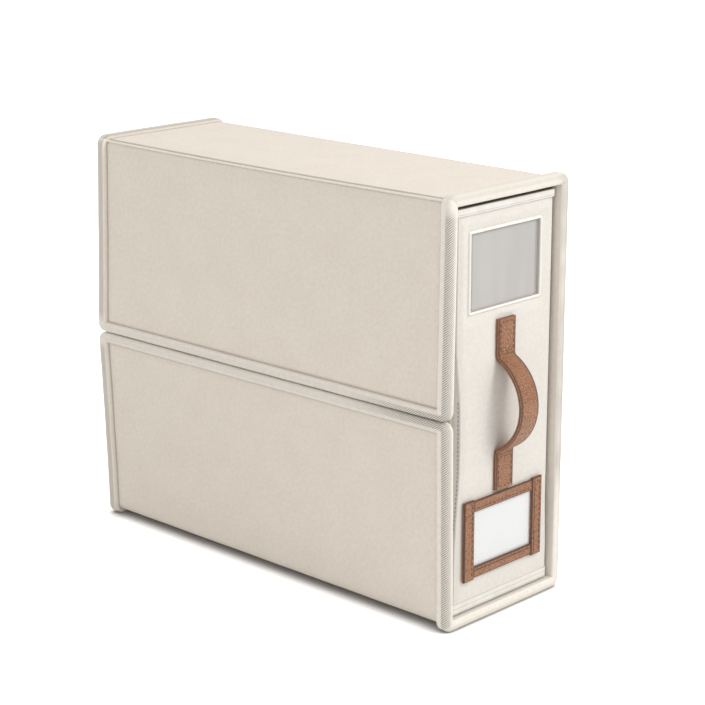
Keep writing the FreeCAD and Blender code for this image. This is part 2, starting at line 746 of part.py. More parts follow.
def label_stitches():
    """Rows of stitches: one on the left upright strip, two on the right, one on each level strip."""
    mid = number("label_mid")
    inset = number("stitch_inset")
    half = number("opening_half")
    reach = number("frame_half")
    rise = number("frame_half_up + strip_over") - inset
    upright = number("front_y - frame_depth - strip_leather - strip_step")
    level = number("front_y - frame_depth - strip_leather")
    middle = number("opening_half_up + stitch_inset")
    rows = []
    for x in (-half - inset, half + inset, reach - inset):
        rows += stitch_row((x, mid - rise), (x, mid + rise), upright, True)
    for z in (mid - middle, mid + middle):
        rows += stitch_row((-half + inset, z), (half - inset, z), level, False)
    stitch_group("label_stitches", rows)


def check_document():
    """Stops if any object failed, or if a finished piece is empty or not a sound solid."""
    doc.recompute()
    for item in doc.Objects:
        if {"Invalid", "Error"} & set(item.State):
            raise RuntimeError("%s failed: %s" % (item.Name, item.State))
    for item in PARTS:
        shape = item.Shape
        if shape.isNull() or not shape.isValid() or not shape.Solids:
            raise RuntimeError(item.Label + " is not a sound solid")


def write_parts():
    os.makedirs("parts", exist_ok=True)
    for item in PARTS:
        item.Shape.exportStep("parts/%s.step" % item.Label)
        size = item.Shape.BoundBox
        print("%-24s %d solid %9.1f mm3  %6.1f x %6.1f x %6.1f" % (
            item.Label, len(item.Shape.Solids), item.Shape.Volume,
            size.XLength, size.YLength, size.ZLength))
    print(len(PARTS), "pieces")


make_sleeve()
drawer_walls()
drawer_front()
drawer_hems()
make_handle()
make_label()
check_document()
write_parts()
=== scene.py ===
"""Looks of a bed sheet organizer: bound fabric panels, a padded drawer front, leather and clear film.

Laid out as an add-on: properties for the sizes and colours that a user would change, one operator for
each group of pieces, and a panel that lists them. Lengths are metres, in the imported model's frame.
"""

import math

import bmesh
import bpy
import numpy as np
from bpy.props import FloatProperty, FloatVectorProperty, PointerProperty
from mathutils import Matrix, Vector, noise


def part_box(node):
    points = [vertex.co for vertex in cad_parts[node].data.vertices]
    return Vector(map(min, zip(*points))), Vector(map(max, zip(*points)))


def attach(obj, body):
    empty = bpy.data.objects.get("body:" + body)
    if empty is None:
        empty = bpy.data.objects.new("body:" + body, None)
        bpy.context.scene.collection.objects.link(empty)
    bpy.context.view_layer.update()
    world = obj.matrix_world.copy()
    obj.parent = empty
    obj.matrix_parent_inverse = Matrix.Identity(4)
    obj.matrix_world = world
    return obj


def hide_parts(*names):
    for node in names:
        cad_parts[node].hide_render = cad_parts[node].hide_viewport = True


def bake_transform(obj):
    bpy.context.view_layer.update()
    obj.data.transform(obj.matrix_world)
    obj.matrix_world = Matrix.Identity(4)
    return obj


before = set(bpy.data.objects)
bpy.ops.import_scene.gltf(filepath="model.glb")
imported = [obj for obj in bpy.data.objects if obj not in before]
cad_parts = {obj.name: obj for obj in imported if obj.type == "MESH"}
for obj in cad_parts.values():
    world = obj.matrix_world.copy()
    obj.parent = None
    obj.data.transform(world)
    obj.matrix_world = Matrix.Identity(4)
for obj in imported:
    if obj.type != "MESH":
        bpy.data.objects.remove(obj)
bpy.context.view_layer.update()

bl_info = {
    "name": "Bed sheet organizer",
    "version": (1, 0, 0),
    "blender": (4, 5, 0),
    "location": "3D View > Sidebar > Organizer",
    "description": "Dresses a bed sheet organizer in fabric, binding tape, leather and film",
    "category": "Object",
}

# Places that come from the frame

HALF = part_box("wall_front_binding")[1].x
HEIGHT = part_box("top_front_binding")[1].z
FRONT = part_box("top_front_binding")[0].y
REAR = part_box("top_rear_binding")[1].y
LOWER_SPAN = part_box("lower_flap_binding")[1].z
UPPER_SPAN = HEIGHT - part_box("upper_flap_binding")[0].z
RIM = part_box("base_front_binding")[1].z
COVER_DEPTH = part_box("base_cover")[0].z
BOARD_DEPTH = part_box("base_board")[0].z
LINING_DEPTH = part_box("base_lining")[0].z
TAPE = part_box("top_front_binding")[1].y - FRONT
EDGE_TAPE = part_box("upper_flap_lining")[0].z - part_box("upper_flap_binding")[0].z
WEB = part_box("top_board")[0].y - FRONT
DRAWER_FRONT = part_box("drawer_front_cover")[0].y
DRAWER_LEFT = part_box("drawer_front_cover")[0].x
DRAWER_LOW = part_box("drawer_front_cover")[0].z
BACKING = DRAWER_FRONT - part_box("handle_leather")[1].y
STRAP = DRAWER_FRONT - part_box("handle_lower_stitches")[1].y

MM = 0.001
SPANS = {
    "base": 2 * HALF,
    "wall": HEIGHT,
    "top": 2 * HALF,
    "upper_flap": UPPER_SPAN,
    "lower_flap": LOWER_SPAN,
}
BODIES = {
    "base": "sleeve",
    "wall": "sleeve",
    "top": "lid",
    "upper_flap": "upper_flap",
    "lower_flap": "lower_flap",
}


def shade(red, green, blue):
    """A colour given as 0 to 255 on screen, as the linear values that a shader takes."""
    def linear(level):
        share = level / 255
        return share / 12.92 if share <= 0.04045 else ((share + 0.055) / 1.055) ** 2.4
    return linear(red), linear(green), linear(blue)


def length_of(name, text, size):
    return FloatProperty(name=name, description=text, default=size, min=0, unit="LENGTH", precision=4)


def amount_of(name, text, size):
    return FloatProperty(name=name, description=text, default=size, min=0)


def colour_of(name, text, red, green, blue):
    return FloatVectorProperty(
        name=name, description=text, subtype="COLOR", size=3, min=0, max=1, default=shade(red, green, blue))


class OrganizerShape(bpy.types.PropertyGroup):
    """Sizes of the soft forms."""
    corner: length_of("Rim corner", "Outer rounding of the rims where two panels meet", 8 * MM)
    flap_corner: length_of("Flap corner", "Rounding of a flap's free corners", 7 * MM)
    bead: length_of("Bead", "Rounding of a bound edge, outer side", 3.2 * MM)
    inner_bead: length_of("Inner bead", "Rounding of a bound edge, inner side", 1.8 * MM)
    swell: length_of("Swell", "Height of the padding in the middle of a sleeve panel", 1.0 * MM)
    front_bow: length_of("Front bow", "How far the flaps bow out at their front corners", 2.0 * MM)
    rear_bow: length_of("Rear bow", "How far the flaps bow out at their rear corners", 5.5 * MM)
    fold_roll: length_of("Fold roll", "Radius of the rolled seam along the upper flap's fold", 0.9 * MM)
    sag: length_of("Sag", "How far the top droops beside the upper flap, at half its length", 1.2 * MM)
    rear_round: length_of("Rear rounding", "Rounding of the lid's far fold at the rear", 2.5 * MM)
    front_round: length_of("Front rounding", "Rounding of the lid's far fold at the front", 8.5 * MM)
    low_round: length_of("Lower rounding", "Rounding of the two folds at the floor", 8.0 * MM)
    rear_ridge: length_of("Rear ridge", "Height of the ridge down the flaps' rear bindings", 0.6 * MM)
    front_swell: length_of("Drawer front swell", "Height of the padding of the drawer's front", 1.1 * MM)
    seam_width: length_of("Seam width", "Sunk seam down the left edge of the drawer's front", 6.9 * MM)
    strap_bend: length_of("Strap bend", "Radius of the handle's bend beside a sewn end", 6 * MM)
    lower_tab: length_of("Lower tab", "Sewn lower end of the handle", 27 * MM)
    upper_tab: length_of("Upper tab", "Sewn upper end of the handle", 26.5 * MM)


class OrganizerFinish(bpy.types.PropertyGroup):
    """Colours of the fabrics, leather and film."""
    linen: colour_of("Linen", "Outer fabric of the sleeve", 245, 235, 222)
    tape: colour_of("Binding tape", "Ribbed tape round the edges", 246, 239, 229)
    # Painted shade: this colour stands in for shade on the flaps' rear bindings and on part of the rims
    shade_grey: colour_of("Tape shade", "Greyer tape: flaps' rear bindings, partly the rims", 214, 206, 193)
    lining: colour_of("Lining", "Cloth inside the sleeve and the drawer", 214, 208, 198)
    front: colour_of("Drawer front", "Outer fabric of the drawer's front", 240, 235, 227)
    hem: colour_of("Hem", "Bands round the drawer", 240, 236, 228)
    board: colour_of("Board", "Stiffening board", 196, 184, 162)
    leather: colour_of("Leather", "Grained leather of the handle and the label frame", 163, 114, 79)
    backing: colour_of("Backing leather", "Inner layer of the handle", 150, 108, 84)
    thread: colour_of("Thread", "Leather stitches", 92, 62, 46)
    seam: colour_of("Seam thread", "Stitches down the drawer's front", 146, 138, 130)
    film: colour_of("Film", "Hazy film of the window", 208, 204, 199)
    card: colour_of("Card", "Label card", 246, 246, 244)
    piping: colour_of("Piping", "Soft tube round the window", 248, 246, 240)


class OrganizerLight(bpy.types.PropertyGroup):
    """Light and camera."""
    world: amount_of("World", "Strength of the even light from all round", 0.80)
    key: amount_of("Key", "Power of the large lamp above the front right", 19.6)
    fill: amount_of("Fill", "Power of the soft lamp at the left", 0.6)
    lens: amount_of("Lens", "Focal length of the camera in millimetres", 102.9)


def shape():
    return bpy.context.scene.organizer_shape


def finish():
    return bpy.context.scene.organizer_finish


# Meshes: lofts through rings of points, and padded sheets on a grid

NOISE_SEED = 7
MERGE = 0.002 * MM
SHARP = math.radians(50)


def new_piece(name, points, faces, uvs, sharp=SHARP, marks=None):
    """A smooth-shaded mesh object with a cloth map in metres. marks are named values at its points,
    for its finish."""
    mesh = bpy.data.meshes.new(name)
    mesh.from_pydata([tuple(point) for point in points], [], faces)
    layer = mesh.uv_layers.new(name="cloth")
    layer.data.foreach_set("uv", np.asarray(uvs, np.float32).ravel())
    for mark, values in (marks or {}).items():
        attribute = mesh.attributes.new(mark, "FLOAT", "POINT")
        attribute.data.foreach_set("value", np.asarray(values, np.float32).ravel())
    work = bmesh.new()
    work.from_mesh(mesh)
    bmesh.ops.remove_doubles(work, verts=work.verts, dist=MERGE)
    bmesh.ops.dissolve_degenerate(work, dist=MERGE, edges=work.edges)
    bmesh.ops.recalc_face_normals(work, faces=work.faces)
    work.to_mesh(mesh)
    work.free()
    mesh.polygons.foreach_set("use_smooth", [True] * len(mesh.polygons))
    mesh.set_sharp_from_angle(angle=sharp)
    piece = bpy.data.objects.new(name, mesh)
    bpy.context.scene.collection.objects.link(piece)
    return piece


def steps_along(points):
    """Distance from the first point to each point of a line."""
    gaps = np.linalg.norm(np.diff(points, axis=0), axis=1)
    return np.concatenate(([0.0], np.cumsum(gaps)))


def loft(name, rings, flat=None, closed=False, sharp=SHARP, marks=None):
    """A mesh through closed rings of points. flat gives each ring point's place on the cloth, with
    one more column than the ring has points, for the seam."""
    rings = np.asarray(rings, float)
    count, size = rings.shape[:2]
    if flat is None:
        centres = rings.mean(axis=1)
        if closed:
            centres = np.concatenate((centres, centres[:1]))
        along = steps_along(centres)
        across = steps_along(np.concatenate((rings[0], rings[0][:1])))
        flat = np.stack(np.meshgrid(along, across, indexing="ij"), axis=-1)
    faces = []
    uvs = []
    for row in range(count if closed else count - 1):
        after = (row + 1) % count
        for column in range(size):
            beside = (column + 1) % size
            faces.append((row * size + column, row * size + beside,
                          after * size + beside, after * size + column))
            uvs += [flat[row][column], flat[row][column + 1],
                    flat[row + 1][column + 1], flat[row + 1][column]]
    if not closed:
        for row in (0, count - 1):
            faces.append(tuple(row * size + column for column in range(size)))
            uvs += [flat[row][column] for column in range(size)]
    return new_piece(name, rings.reshape(-1, 3), faces, uvs, sharp, marks)


def grid_lines(low, high, step, border=(), both=True):
    """Places from low to high, even between its borders: close together, as border says, near the
    high end and, with both, near the low end too."""
    near = [low + gap for gap in border] if both else []
    far = [high - gap for gap in border][::-1]
    start = near[-1] if near else low
    stop = far[0] if far else high
    count = max(int(round((stop - start) / step)), 1)
    middle = list(np.linspace(start, stop, count + 1))
    return np.array([low] * bool(near) + near[:-1] + middle + far[1:] + [high] * bool(far))


def padded_sheet(name, us, vs, front, back, place, hole=None, marks=None, shift=0.0):
    """A closed sheet between two depths over a grid, with an optional rectangular hole. marks gives
    values over the front side, and shift moves its place on the cloth map."""
    across, up = np.meshgrid(us, vs, indexing="ij")
    sides = [place(across, up, np.broadcast_to(depth(across, up), across.shape))
             for depth in (front, back)]
    points = np.concatenate([side.reshape(-1, 3) for side in sides])
    rows, columns = across.shape
    lift = rows * columns

    def solid(i, j):
        if not (0 <= i < rows - 1 and 0 <= j < columns - 1):
            return False
        if hole is None:
            return True
        u = (us[i] + us[i + 1]) / 2
        v = (vs[j] + vs[j + 1]) / 2
        return not (hole[0] < u < hole[1] and hole[2] < v < hole[3])

    faces = []
    uvs = []

    def add(corners, layers):
        faces.append(tuple(i * columns + j + layer * lift for (i, j), layer in zip(corners, layers)))
        uvs.extend((us[i] + shift, vs[j]) for i, j in corners)

    for i in range(rows - 1):
        for j in range(columns - 1):
            if not solid(i, j):
                continue
            ring = ((i, j), (i + 1, j), (i + 1, j + 1), (i, j + 1))
            add(ring, (0, 0, 0, 0))
            add(ring[::-1], (1, 1, 1, 1))
            for a, b, step in ((0, 1, (0, -1)), (1, 2, (1, 0)), (2, 3, (0, 1)), (3, 0, (-1, 0))):
                if not solid(i + step[0], j + step[1]):
                    add((ring[b], ring[a], ring[a], ring[b]), (0, 0, 1, 1))
    used = sorted({index for face in faces for index in face})
    number = {index: place for place, index in enumerate(used)}
    faces = [tuple(number[index] for index in face) for face in faces]
    values = {}
    for mark, level in (marks or {}).items():
        shown = np.broadcast_to(level(across, up), across.shape).ravel()
        values[mark] = np.concatenate((shown, 0 * shown))[used]
    return new_piece(name, points[used], faces, uvs, marks=values)


def level_at(depth):
    """The function that gives a sheet one even depth."""
    return lambda u, v: np.full(u.shape, depth)


def to_border(u, v, left, right, bottom, top):
    """Distance in from the nearest side of a rectangle."""
    return np.minimum(np.minimum(u - left, right - u), np.minimum(v - bottom, top - v))


def same(value):
    return value


def place_on(axis, level_of):
    """The function that puts a sheet across one axis, at the level that each depth gives."""
    def place(u, v, w):
        parts = [u, v]
        parts.insert(axis, level_of(w))
        return np.stack(parts, axis=-1)
    return place


def ripple(points, size, amount, seed=0.0):
    """Soft uneven shifts of points, from smooth noise of a given wavelength. Vector noise starts
    from the clock unless it is given a seed."""
    noise.seed_set(NOISE_SEED)
    flat = points.reshape(-1, 3)
    shift = Vector((seed, seed * 0.7, -seed))
    moves = [noise.noise_vector(Vector(point) / size + shift) for point in flat]
    return points + amount * np.array(moves).reshape(points.shape)


def unevenness(u, v, size, seed=0.0):
    """Smooth noise between about -1 and 1 over a sheet's own coordinates."""
    flat = zip(np.ravel(u), np.ravel(v))
    values = [noise.noise(Vector((a / size, b / size, seed))) for a, b in flat]
    return np.array(values).reshape(np.shape(u))


def soft_edge(distance, reach):
    """From 0 at an edge to 1 at a reach, as a quarter of a circle."""
    share = np.clip(distance / reach, 0, 1)
    return np.sqrt(np.clip(1 - (1 - share) ** 2, 0, 1))


def smooth_step(value, low, high):
    share = np.clip((value - low) / (high - low), 0, 1)
    return share * share * (3 - 2 * share)


# Panels of the sleeve: u across from the first fold, v along the sleeve, w inwards from the rims' plane

BOW_POWER = 1.3


def bow_of(panel, u, v):
    """How far a point of a flap bows outwards."""
    if not panel.endswith("flap"):
        return 0.0
    share = np.clip(u / SPANS[panel], 0, 1)
    front = shape().front_bow
    rear = shape().rear_bow
    return (front + (rear - front) * (v - FRONT) / (REAR - FRONT)) * share ** BOW_POWER


def panel_place(panel):
    """The function that puts a panel's points in the frame."""
    def place(u, v, w):
        u, v, w = np.broadcast_arrays(u, v, w)
        w = w - bow_of(panel, u, v)
        if panel == "base":
            return np.stack((u - HALF, v, w), axis=-1)
        if panel == "wall":
            return np.stack((HALF - w, v, u), axis=-1)
        if panel == "top":
            return np.stack((HALF - u, v, HEIGHT - w), axis=-1)
        if panel == "upper_flap":
            return np.stack((w - HALF, v, HEIGHT - u), axis=-1)
        return np.stack((w - HALF, v, u), axis=-1)
    return place


def finish_piece(piece, body, slot, material, *nodes):
    """Gives a piece its material and body, and hides the nodes that it stands for; its slot is not used."""
    piece.data.materials.append(material)
    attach(piece, body)
    if nodes:
        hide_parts(*nodes)
    return piece


# Bound edges

FOLD_STEPS = 7
CORNER_STEPS = 9
LEAST_CORNER = 0.25 * MM
RING_STEP = 9 * MM
TAPE_RIPPLE = (26 * MM, 0.16 * MM)

# The section, from its outer crease: short of the tape's reach and below the cover; short of the reach
# and deep; in from the edge and deep; and behind the nose, short of the reach and above the inner face.
CREASE_LINE = ((0.0, 1.2), (0.05, -0.3), (0.3, -1.1))
OUTER_LEG = ((0.8, 0.45), (1.5, 0.22), (2.4, 0.2), (3.3, 0.26))
SEWN_LINE = ((5.7, 0.34), (5.4, 0.55), (5.1, 0.34), (4.6, 0.08), (3.9, 0.0))
INNER_LEG = ((1.5, 0.0), (0.3, 0.25), (0.0, 0.7))
NOSE = len(CREASE_LINE + OUTER_LEG + SEWN_LINE)
NOSE_STEPS = 9
NOSE_BULGE = 0.12 * MM
INNER_STEPS = 6
INNER_START = 4.5 * MM
INNER_LIFT = 0.05 * MM
RIDGE = (3, 4)

# Where the tape is ribbed, and where painted shade makes it greyer or darker
RIB_REACH = (4.7 * MM, 5.3 * MM)
RIB_FACE = (1 * MM, RIM - 0.5 * MM)
WALL_RIBS = (60 * MM, 110 * MM)
TOP_RIBS = 0.35
RIB_PATCH = 22 * MM
LEG_TOP = (10 * MM, 15 * MM)
LEG_FOOT = (2 * MM, 5 * MM)
FREE_RIBS = (12 * MM, 110 * MM)
GREY_REACH = (7.8 * MM, 8.3 * MM)
FRONT_GREY = 0.5
REAR_DARK = 0.3
FREE_DARK = 0.09
CREASE_DARK = (0.55, 0.45, 0.12)
INNER_DARK = 0.2


def binding_profile(reach):
    """The binding's section: distance in from the edge, depth, and place on the flattened tape.

    It runs from the outer crease over the nose to the inner crease, and back round the groove."""
    bead = shape().bead
    inner = shape().inner_bead
    points = [(reach - short * MM, COVER_DEPTH + down * MM) for short, down in CREASE_LINE]
    points += [(reach - short * MM, down * MM) for short, down in OUTER_LEG]
    points += [(inward * MM, down * MM) for inward, down in SEWN_LINE]
    for turn in np.radians(np.linspace(0, 90, NOSE_STEPS)):
        points.append((bead - bead * math.sin(turn), bead - bead * math.cos(turn)))
    points.append((-NOSE_BULGE, (bead + RIM - inner) / 2))
    for turn in np.radians(np.linspace(0, 90, INNER_STEPS)):
        points.append((inner - inner * math.cos(turn), RIM - inner + inner * math.sin(turn)))
    points.append((INNER_START, RIM + INNER_LIFT))
    points += [(reach - short * MM, RIM - up * MM) for short, up in INNER_LEG]
    points += [(reach, LINING_DEPTH), (WEB, LINING_DEPTH), (WEB, points[0][1])]
    places = np.array(points)
    gaps = steps_along(places)
    return places[:, 0], places[:, 1], bead - (gaps - gaps[NOSE])


def crease_shade(depths):
    """Painted shade of each line of a binding's section: darkest in its crease, and a little on its inner
    leg.
    """
    dark = INNER_DARK * (depths >= RIM - 0.3 * MM)
    dark[:len(CREASE_DARK)] = CREASE_DARK
    return dark


def fold_arc(depth, opening):
    """A rim's half corner at a fold, from the mitre: across and depth at a given offset."""
    radius = max(shape().corner - depth, LEAST_CORNER)
    centre = depth + radius
    turns = np.radians(np.linspace(45, 90, FOLD_STEPS))
    across = centre - radius * np.cos(turns)
    down = centre - radius * np.sin(turns)
    return (across, down) if opening else (across[::-1], down[::-1])


def rim_run(panel, depth):
    """Across and depth of a rim along a whole panel at one offset, mitre to mitre."""
    start, start_depth = fold_arc(depth, True)
    end, end_depth = fold_arc(depth, False)
    span = SPANS[panel]
    steps = int(span / RING_STEP)
    middle = np.linspace(start[-1], span - end[0], steps)[1:-1]
    across = np.concatenate((start, middle, span - end))
    down = np.concatenate((start_depth, np.full(len(middle), depth), end_depth))
    return across, down


def rim_binding(name, panels, front):
    """A bound rim along one panel or round several, with its section swept from fold to fold."""
    inward, depths, tape = binding_profile(TAPE)
    columns = []
    for distance, depth in zip(inward, depths):
        level = FRONT + distance if front else REAR - distance
        runs = []
        for panel in panels:
            across, down = rim_run(panel, max(depth, 0.0))
            down = down + min(depth, 0.0)
            runs.append(panel_place(panel)(across, np.full(len(across), level), down))
        columns.append(np.concatenate([runs[0]] + [run[1:] for run in runs[1:]]))
    rings = np.stack(columns, axis=1)
    along = steps_along(rings[:, NOSE])
    flat = np.stack(np.meshgrid(along, np.append(tape, tape[-1] - 3 * MM), indexing="ij"), axis=-1)
    face = (inward < WEB) & (depths > RIB_FACE[0]) & (depths < RIB_FACE[1])
    height = rings[:, NOSE, 2]
    share = smooth_step(height, *WALL_RIBS) * (rings[:, NOSE, 0] > HALF - RIM)
    share = np.maximum(share, TOP_RIBS * (height > HEIGHT - RIM)) * front
    patchy = 0.65 + 0.5 * unevenness(height, height, RIB_PATCH, 2.0)
    dark = crease_shade(depths)
    # Painted shade: the front rims are greyer on their outer half; the rear rims are greyer along their
    # outer face and darker on their outer leg
    if front:
        shade_grey = FRONT_GREY * (depths < RIM / 2)
    else:
        shade_grey = depths < 1 * MM
        dark[len(CREASE_LINE):len(CREASE_LINE + OUTER_LEG)] = REAR_DARK
    whole = np.ones(len(rings))
    marks = {"ribbed": np.outer(share * patchy, face), "greyed": np.outer(whole, shade_grey),
             "shaded": np.outer(whole, dark)}
    rings = ripple(rings, *TAPE_RIPPLE, 3.0 if front else 9.0)
    return loft(name, rings, flat[:, :, ::-1], marks=marks)


def flap_binding(panel):
    """The binding round a flap's front, free and rear edges, swept in one piece. It is ribbed but for
    the rear leg, which is painted greyer as shade and has a ridge beside its crease."""
    inward, depths, tape = binding_profile(TAPE)
    bead = shape().bead
    shrink = (EDGE_TAPE - bead) / (TAPE - bead)
    span = SPANS[panel]
    upper = panel == "upper_flap"
    across, along, _ = flap_path(span, 0.0, 0.0, 0.0).T
    rear = smooth_step(along, REAR - 9 * MM, REAR - 1 * MM) * smooth_step(across, 1 * MM, 7 * MM)
    rear = rear * (1 - smooth_step(across, span - 16 * MM, span - 8 * MM))
    columns = []
    flats = []
    for index, (distance, depth, developed) in enumerate(zip(inward, depths, tape)):
        edge = distance if distance < bead else bead + (distance - bead) * shrink
        edge_developed = developed if developed < bead else bead + (developed - bead) * shrink
        path = flap_path(span, distance, edge, max(depth, 0.0))
        down = path[:, 2] + min(depth, 0.0)
        if index in RIDGE:
            down = down - shape().rear_ridge * rear
        columns.append(panel_place(panel)(path[:, 0], path[:, 1], down))
        laid = flap_path(span, developed, edge_developed, 0.0)
        flats.append(np.stack((laid[:, 1], panel_place(panel)(laid[:, 0], 0, 0)[:, 2]), axis=-1))
    rings = ripple(np.stack(columns, axis=1), *TAPE_RIPPLE, 5.0 if upper else 7.0)
    flats.append(flats[-1] + 3 * MM)
    leg = smooth_step(across, *(LEG_TOP if upper else LEG_FOOT))
    leg = leg * (1 - smooth_step(along, REAR - 12 * MM, REAR - 6 * MM))
    leg = leg * (1 - 0.85 * smooth_step(along - FRONT, *FREE_RIBS))
    # Painted shade: a little darker along the free edge, and greyer on the rear leg
    free = FREE_DARK * smooth_step(across, span - 4 * MM, span - 1 * MM)
    outside = (1 - smooth_step(inward, *RIB_REACH)) * (1 - smooth_step(depths, *RIB_REACH))
    shade_grey = (1 - smooth_step(inward, *GREY_REACH)) * (depths < LINING_DEPTH)
    marks = {"ribbed": np.outer(leg, outside),
             "greyed": np.outer(rear, shade_grey),
             "shaded": np.maximum(crease_shade(depths), np.outer(free, depths < LINING_DEPTH))}
    return loft(panel + "_bound_edge", rings, np.stack(flats, axis=1), marks=marks)


def flap_path(span, side, edge, depth):
    """Across, along and depth of one thread of a flap's binding: fold, corner, free edge, corner, fold."""
    start, start_depth = fold_arc(depth, True)
    radius = max(shape().flap_corner - side, LEAST_CORNER)
    low = FRONT + side
    high = REAR - side
    far = span - edge
    leg = np.linspace(start[-1], far - radius, int(span / RING_STEP))[1:]
    turns = np.radians(np.linspace(0, 90, CORNER_STEPS))[1:]
    corner_u = far - radius + radius * np.sin(turns)
    corner_v = radius - radius * np.cos(turns)
    free = np.linspace(low + radius, high - radius, int((REAR - FRONT) / RING_STEP))[1:-1]
    half = np.concatenate((start, leg, corner_u))
    straight = len(start) + len(leg)
    u = np.concatenate((half, np.full(len(free), far), half[::-1]))
    v = np.concatenate((
        np.full(straight, low), low + corner_v, free, high - corner_v[::-1], np.full(straight, high)))
    flat = np.full(len(u) - 2 * len(start), depth)
    w = np.concatenate((start_depth, flat, start_depth[::-1]))
    return np.stack((u, v, w), axis=-1)


class ORGANIZER_OT_bound_edges(bpy.types.Operator):
    """Ribbed tape round the rims of the sleeve and the free edges of its flaps"""
    bl_idname = "organizer.bound_edges"
    bl_label = "Bound edges"

    def execute(self, context):
        tape = tape_finish()
        for end in ("front", "rear"):
            piece = rim_binding("sleeve_%s_rim" % end, ("base", "wall"), end == "front")
            finish_piece(piece, "sleeve", "binding_tape", tape,
                         "base_%s_binding" % end, "wall_%s_binding" % end)
            piece = rim_binding("top_%s_rim" % end, ("top",), end == "front")
            finish_piece(piece, "lid", "binding_tape", tape, "top_%s_binding" % end)
        for panel in ("upper_flap", "lower_flap"):
            finish_piece(flap_binding(panel), panel, "binding_tape", tape, panel + "_binding")
        return {"FINISHED"}


# Outer covers

BORDER = tuple(gap * MM for gap in (0.0, 0.25, 0.6, 1.1, 1.8, 2.8, 4.2, 6.0, 9.0, 13.0))
TUCK = 0.6 * MM
LOW_EDGE = FRONT + TAPE - TUCK
HIGH_EDGE = REAR - TAPE + TUCK
CLOTH_STEP = 7 * MM
FOLD_REACH = 14 * MM
PUFF_REACH = 40 * MM
SAG_REACH = 35 * MM
SKIN = 0.6 * MM
STRIP_LENGTH = 26 * MM
HAIR = 0.05 * MM
EDGE_DIP = 0.6 * MM
LONG_WAVES = (55 * MM, 0.45)
SHORT_WAVES = (17 * MM, 0.25)
DIVE_DARK = 0.3


def sag_at(v):
    """How far the top has drooped beside the upper flap, at a place along the sleeve."""
    return shape().sag * np.sin(math.pi * np.clip((v - LOW_EDGE) / (HIGH_EDGE - LOW_EDGE), 0, 1))


def cover_depth(panel):
    """Depth of a panel's outer face: sunk beside the bindings, level beside the folds, padded between."""
    lift = shape().swell
    flap = panel.endswith("flap")
    span = SPANS[panel]
    seed = len(panel)

    def depth(u, v):
        u, v = np.broadcast_arrays(np.asarray(u, float), np.asarray(v, float))
        to_fold = u if flap else np.minimum(u, span - u)
        to_edge = np.minimum(v - LOW_EDGE, HIGH_EDGE - v)
        if flap:
            to_edge = np.minimum(to_edge, span - EDGE_TAPE + TUCK - u)
        rise = smooth_step(to_edge, 0.3 * MM, 9 * MM) * smooth_step(to_fold, FOLD_REACH, PUFF_REACH)
        uneven = LONG_WAVES[1] * unevenness(u, v, LONG_WAVES[0], seed)
        uneven = uneven + SHORT_WAVES[1] * unevenness(u, v, SHORT_WAVES[0], seed + 4)
        dip = EDGE_DIP * (1 - smooth_step(to_edge, 0.0, 1.8 * MM))
        droop = sag_at(v) * (1 - smooth_step(span - u, 0, SAG_REACH)) if panel == "top" else 0.0
        return COVER_DEPTH + dip + droop - lift * (1 + uneven) * rise
    return depth


def edge_shade(to_edge):
    """Painted shade: a darker line of the fabric where it dives under a binding."""
    return DIVE_DARK * (1 - smooth_step(to_edge, 0.9 * MM, 2.4 * MM))


def cloth_ripple(points):
    """The same fine unevenness for all the outer fabric, so that its pieces still meet."""
    return ripple(points, 24 * MM, 0.14 * MM, 1.0)


def panel_cover(panel):
    """The outer fabric of one panel, tucked under its bindings, between the strips over its folds."""
    flap = panel.endswith("flap")
    far = SPANS[panel] - (EDGE_TAPE - TUCK if flap else FOLD_REACH)
    us = grid_lines(FOLD_REACH, far, CLOTH_STEP, BORDER if flap else (), both=False)
    vs = grid_lines(LOW_EDGE, HIGH_EDGE, CLOTH_STEP, BORDER)
    shift = SPANS["top"] + STRIP_LENGTH - 2 * FOLD_REACH if panel == "upper_flap" else 0.0

    def place(u, v, w):
        return cloth_ripple(panel_place(panel)(u, v, w))

    # Painted shade where the fabric dives under a binding
    def painted_crease_shade(u, v):
        to_edge = np.minimum(v - LOW_EDGE, HIGH_EDGE - v)
        if flap:
            to_edge = np.minimum(to_edge, far - u)
        return edge_shade(to_edge)

    return padded_sheet(panel + "_outer_fabric", us, vs, cover_depth(panel), level_at(BOARD_DEPTH - HAIR),
                        place, shift=shift, marks={"shaded": painted_crease_shade})


class ORGANIZER_OT_outer_fabric(bpy.types.Operator):
    """Padded linen over the five panels of the sleeve"""
    bl_idname = "organizer.outer_fabric"
    bl_label = "Outer fabric"

    def execute(self, context):
        linen = linen_finish("sleeve_linen", finish().linen)
        for panel, body in BODIES.items():
            piece = finish_piece(panel_cover(panel), body, "sleeve_linen", linen, panel + "_cover")
        return {"FINISHED"}


# Strips of fabric over the folds. A fold's section is given as distances in from
# its upright panel and from its level one.

CREASE = tuple((inset * MM, down * MM) for inset, down in (
    (6.3, 3.25), (5.9, 3.7), (5.7, 4.4), (5.4, 5.0), (4.6, 5.4), (3.6, 6.0), (3.1, 7.5), (3.0, 10.0)))
SUNK_PART = (1, 1, 1, 1, 1, 0.6, 0, 0)
CREASE_FLAT = (FOLD_REACH, 10 * MM, 8 * MM)
GROOVE_DARK = 0.6
GROOVE_POINTS = 4
ROLL_CENTRE = (3.9 * MM, 4.2 * MM)
ROUND_STEPS = 9
TUBE_TURNS = np.radians(np.arange(0, 360, 30))
END_ROUND = 6 * MM
END_SLOPE = 0.6


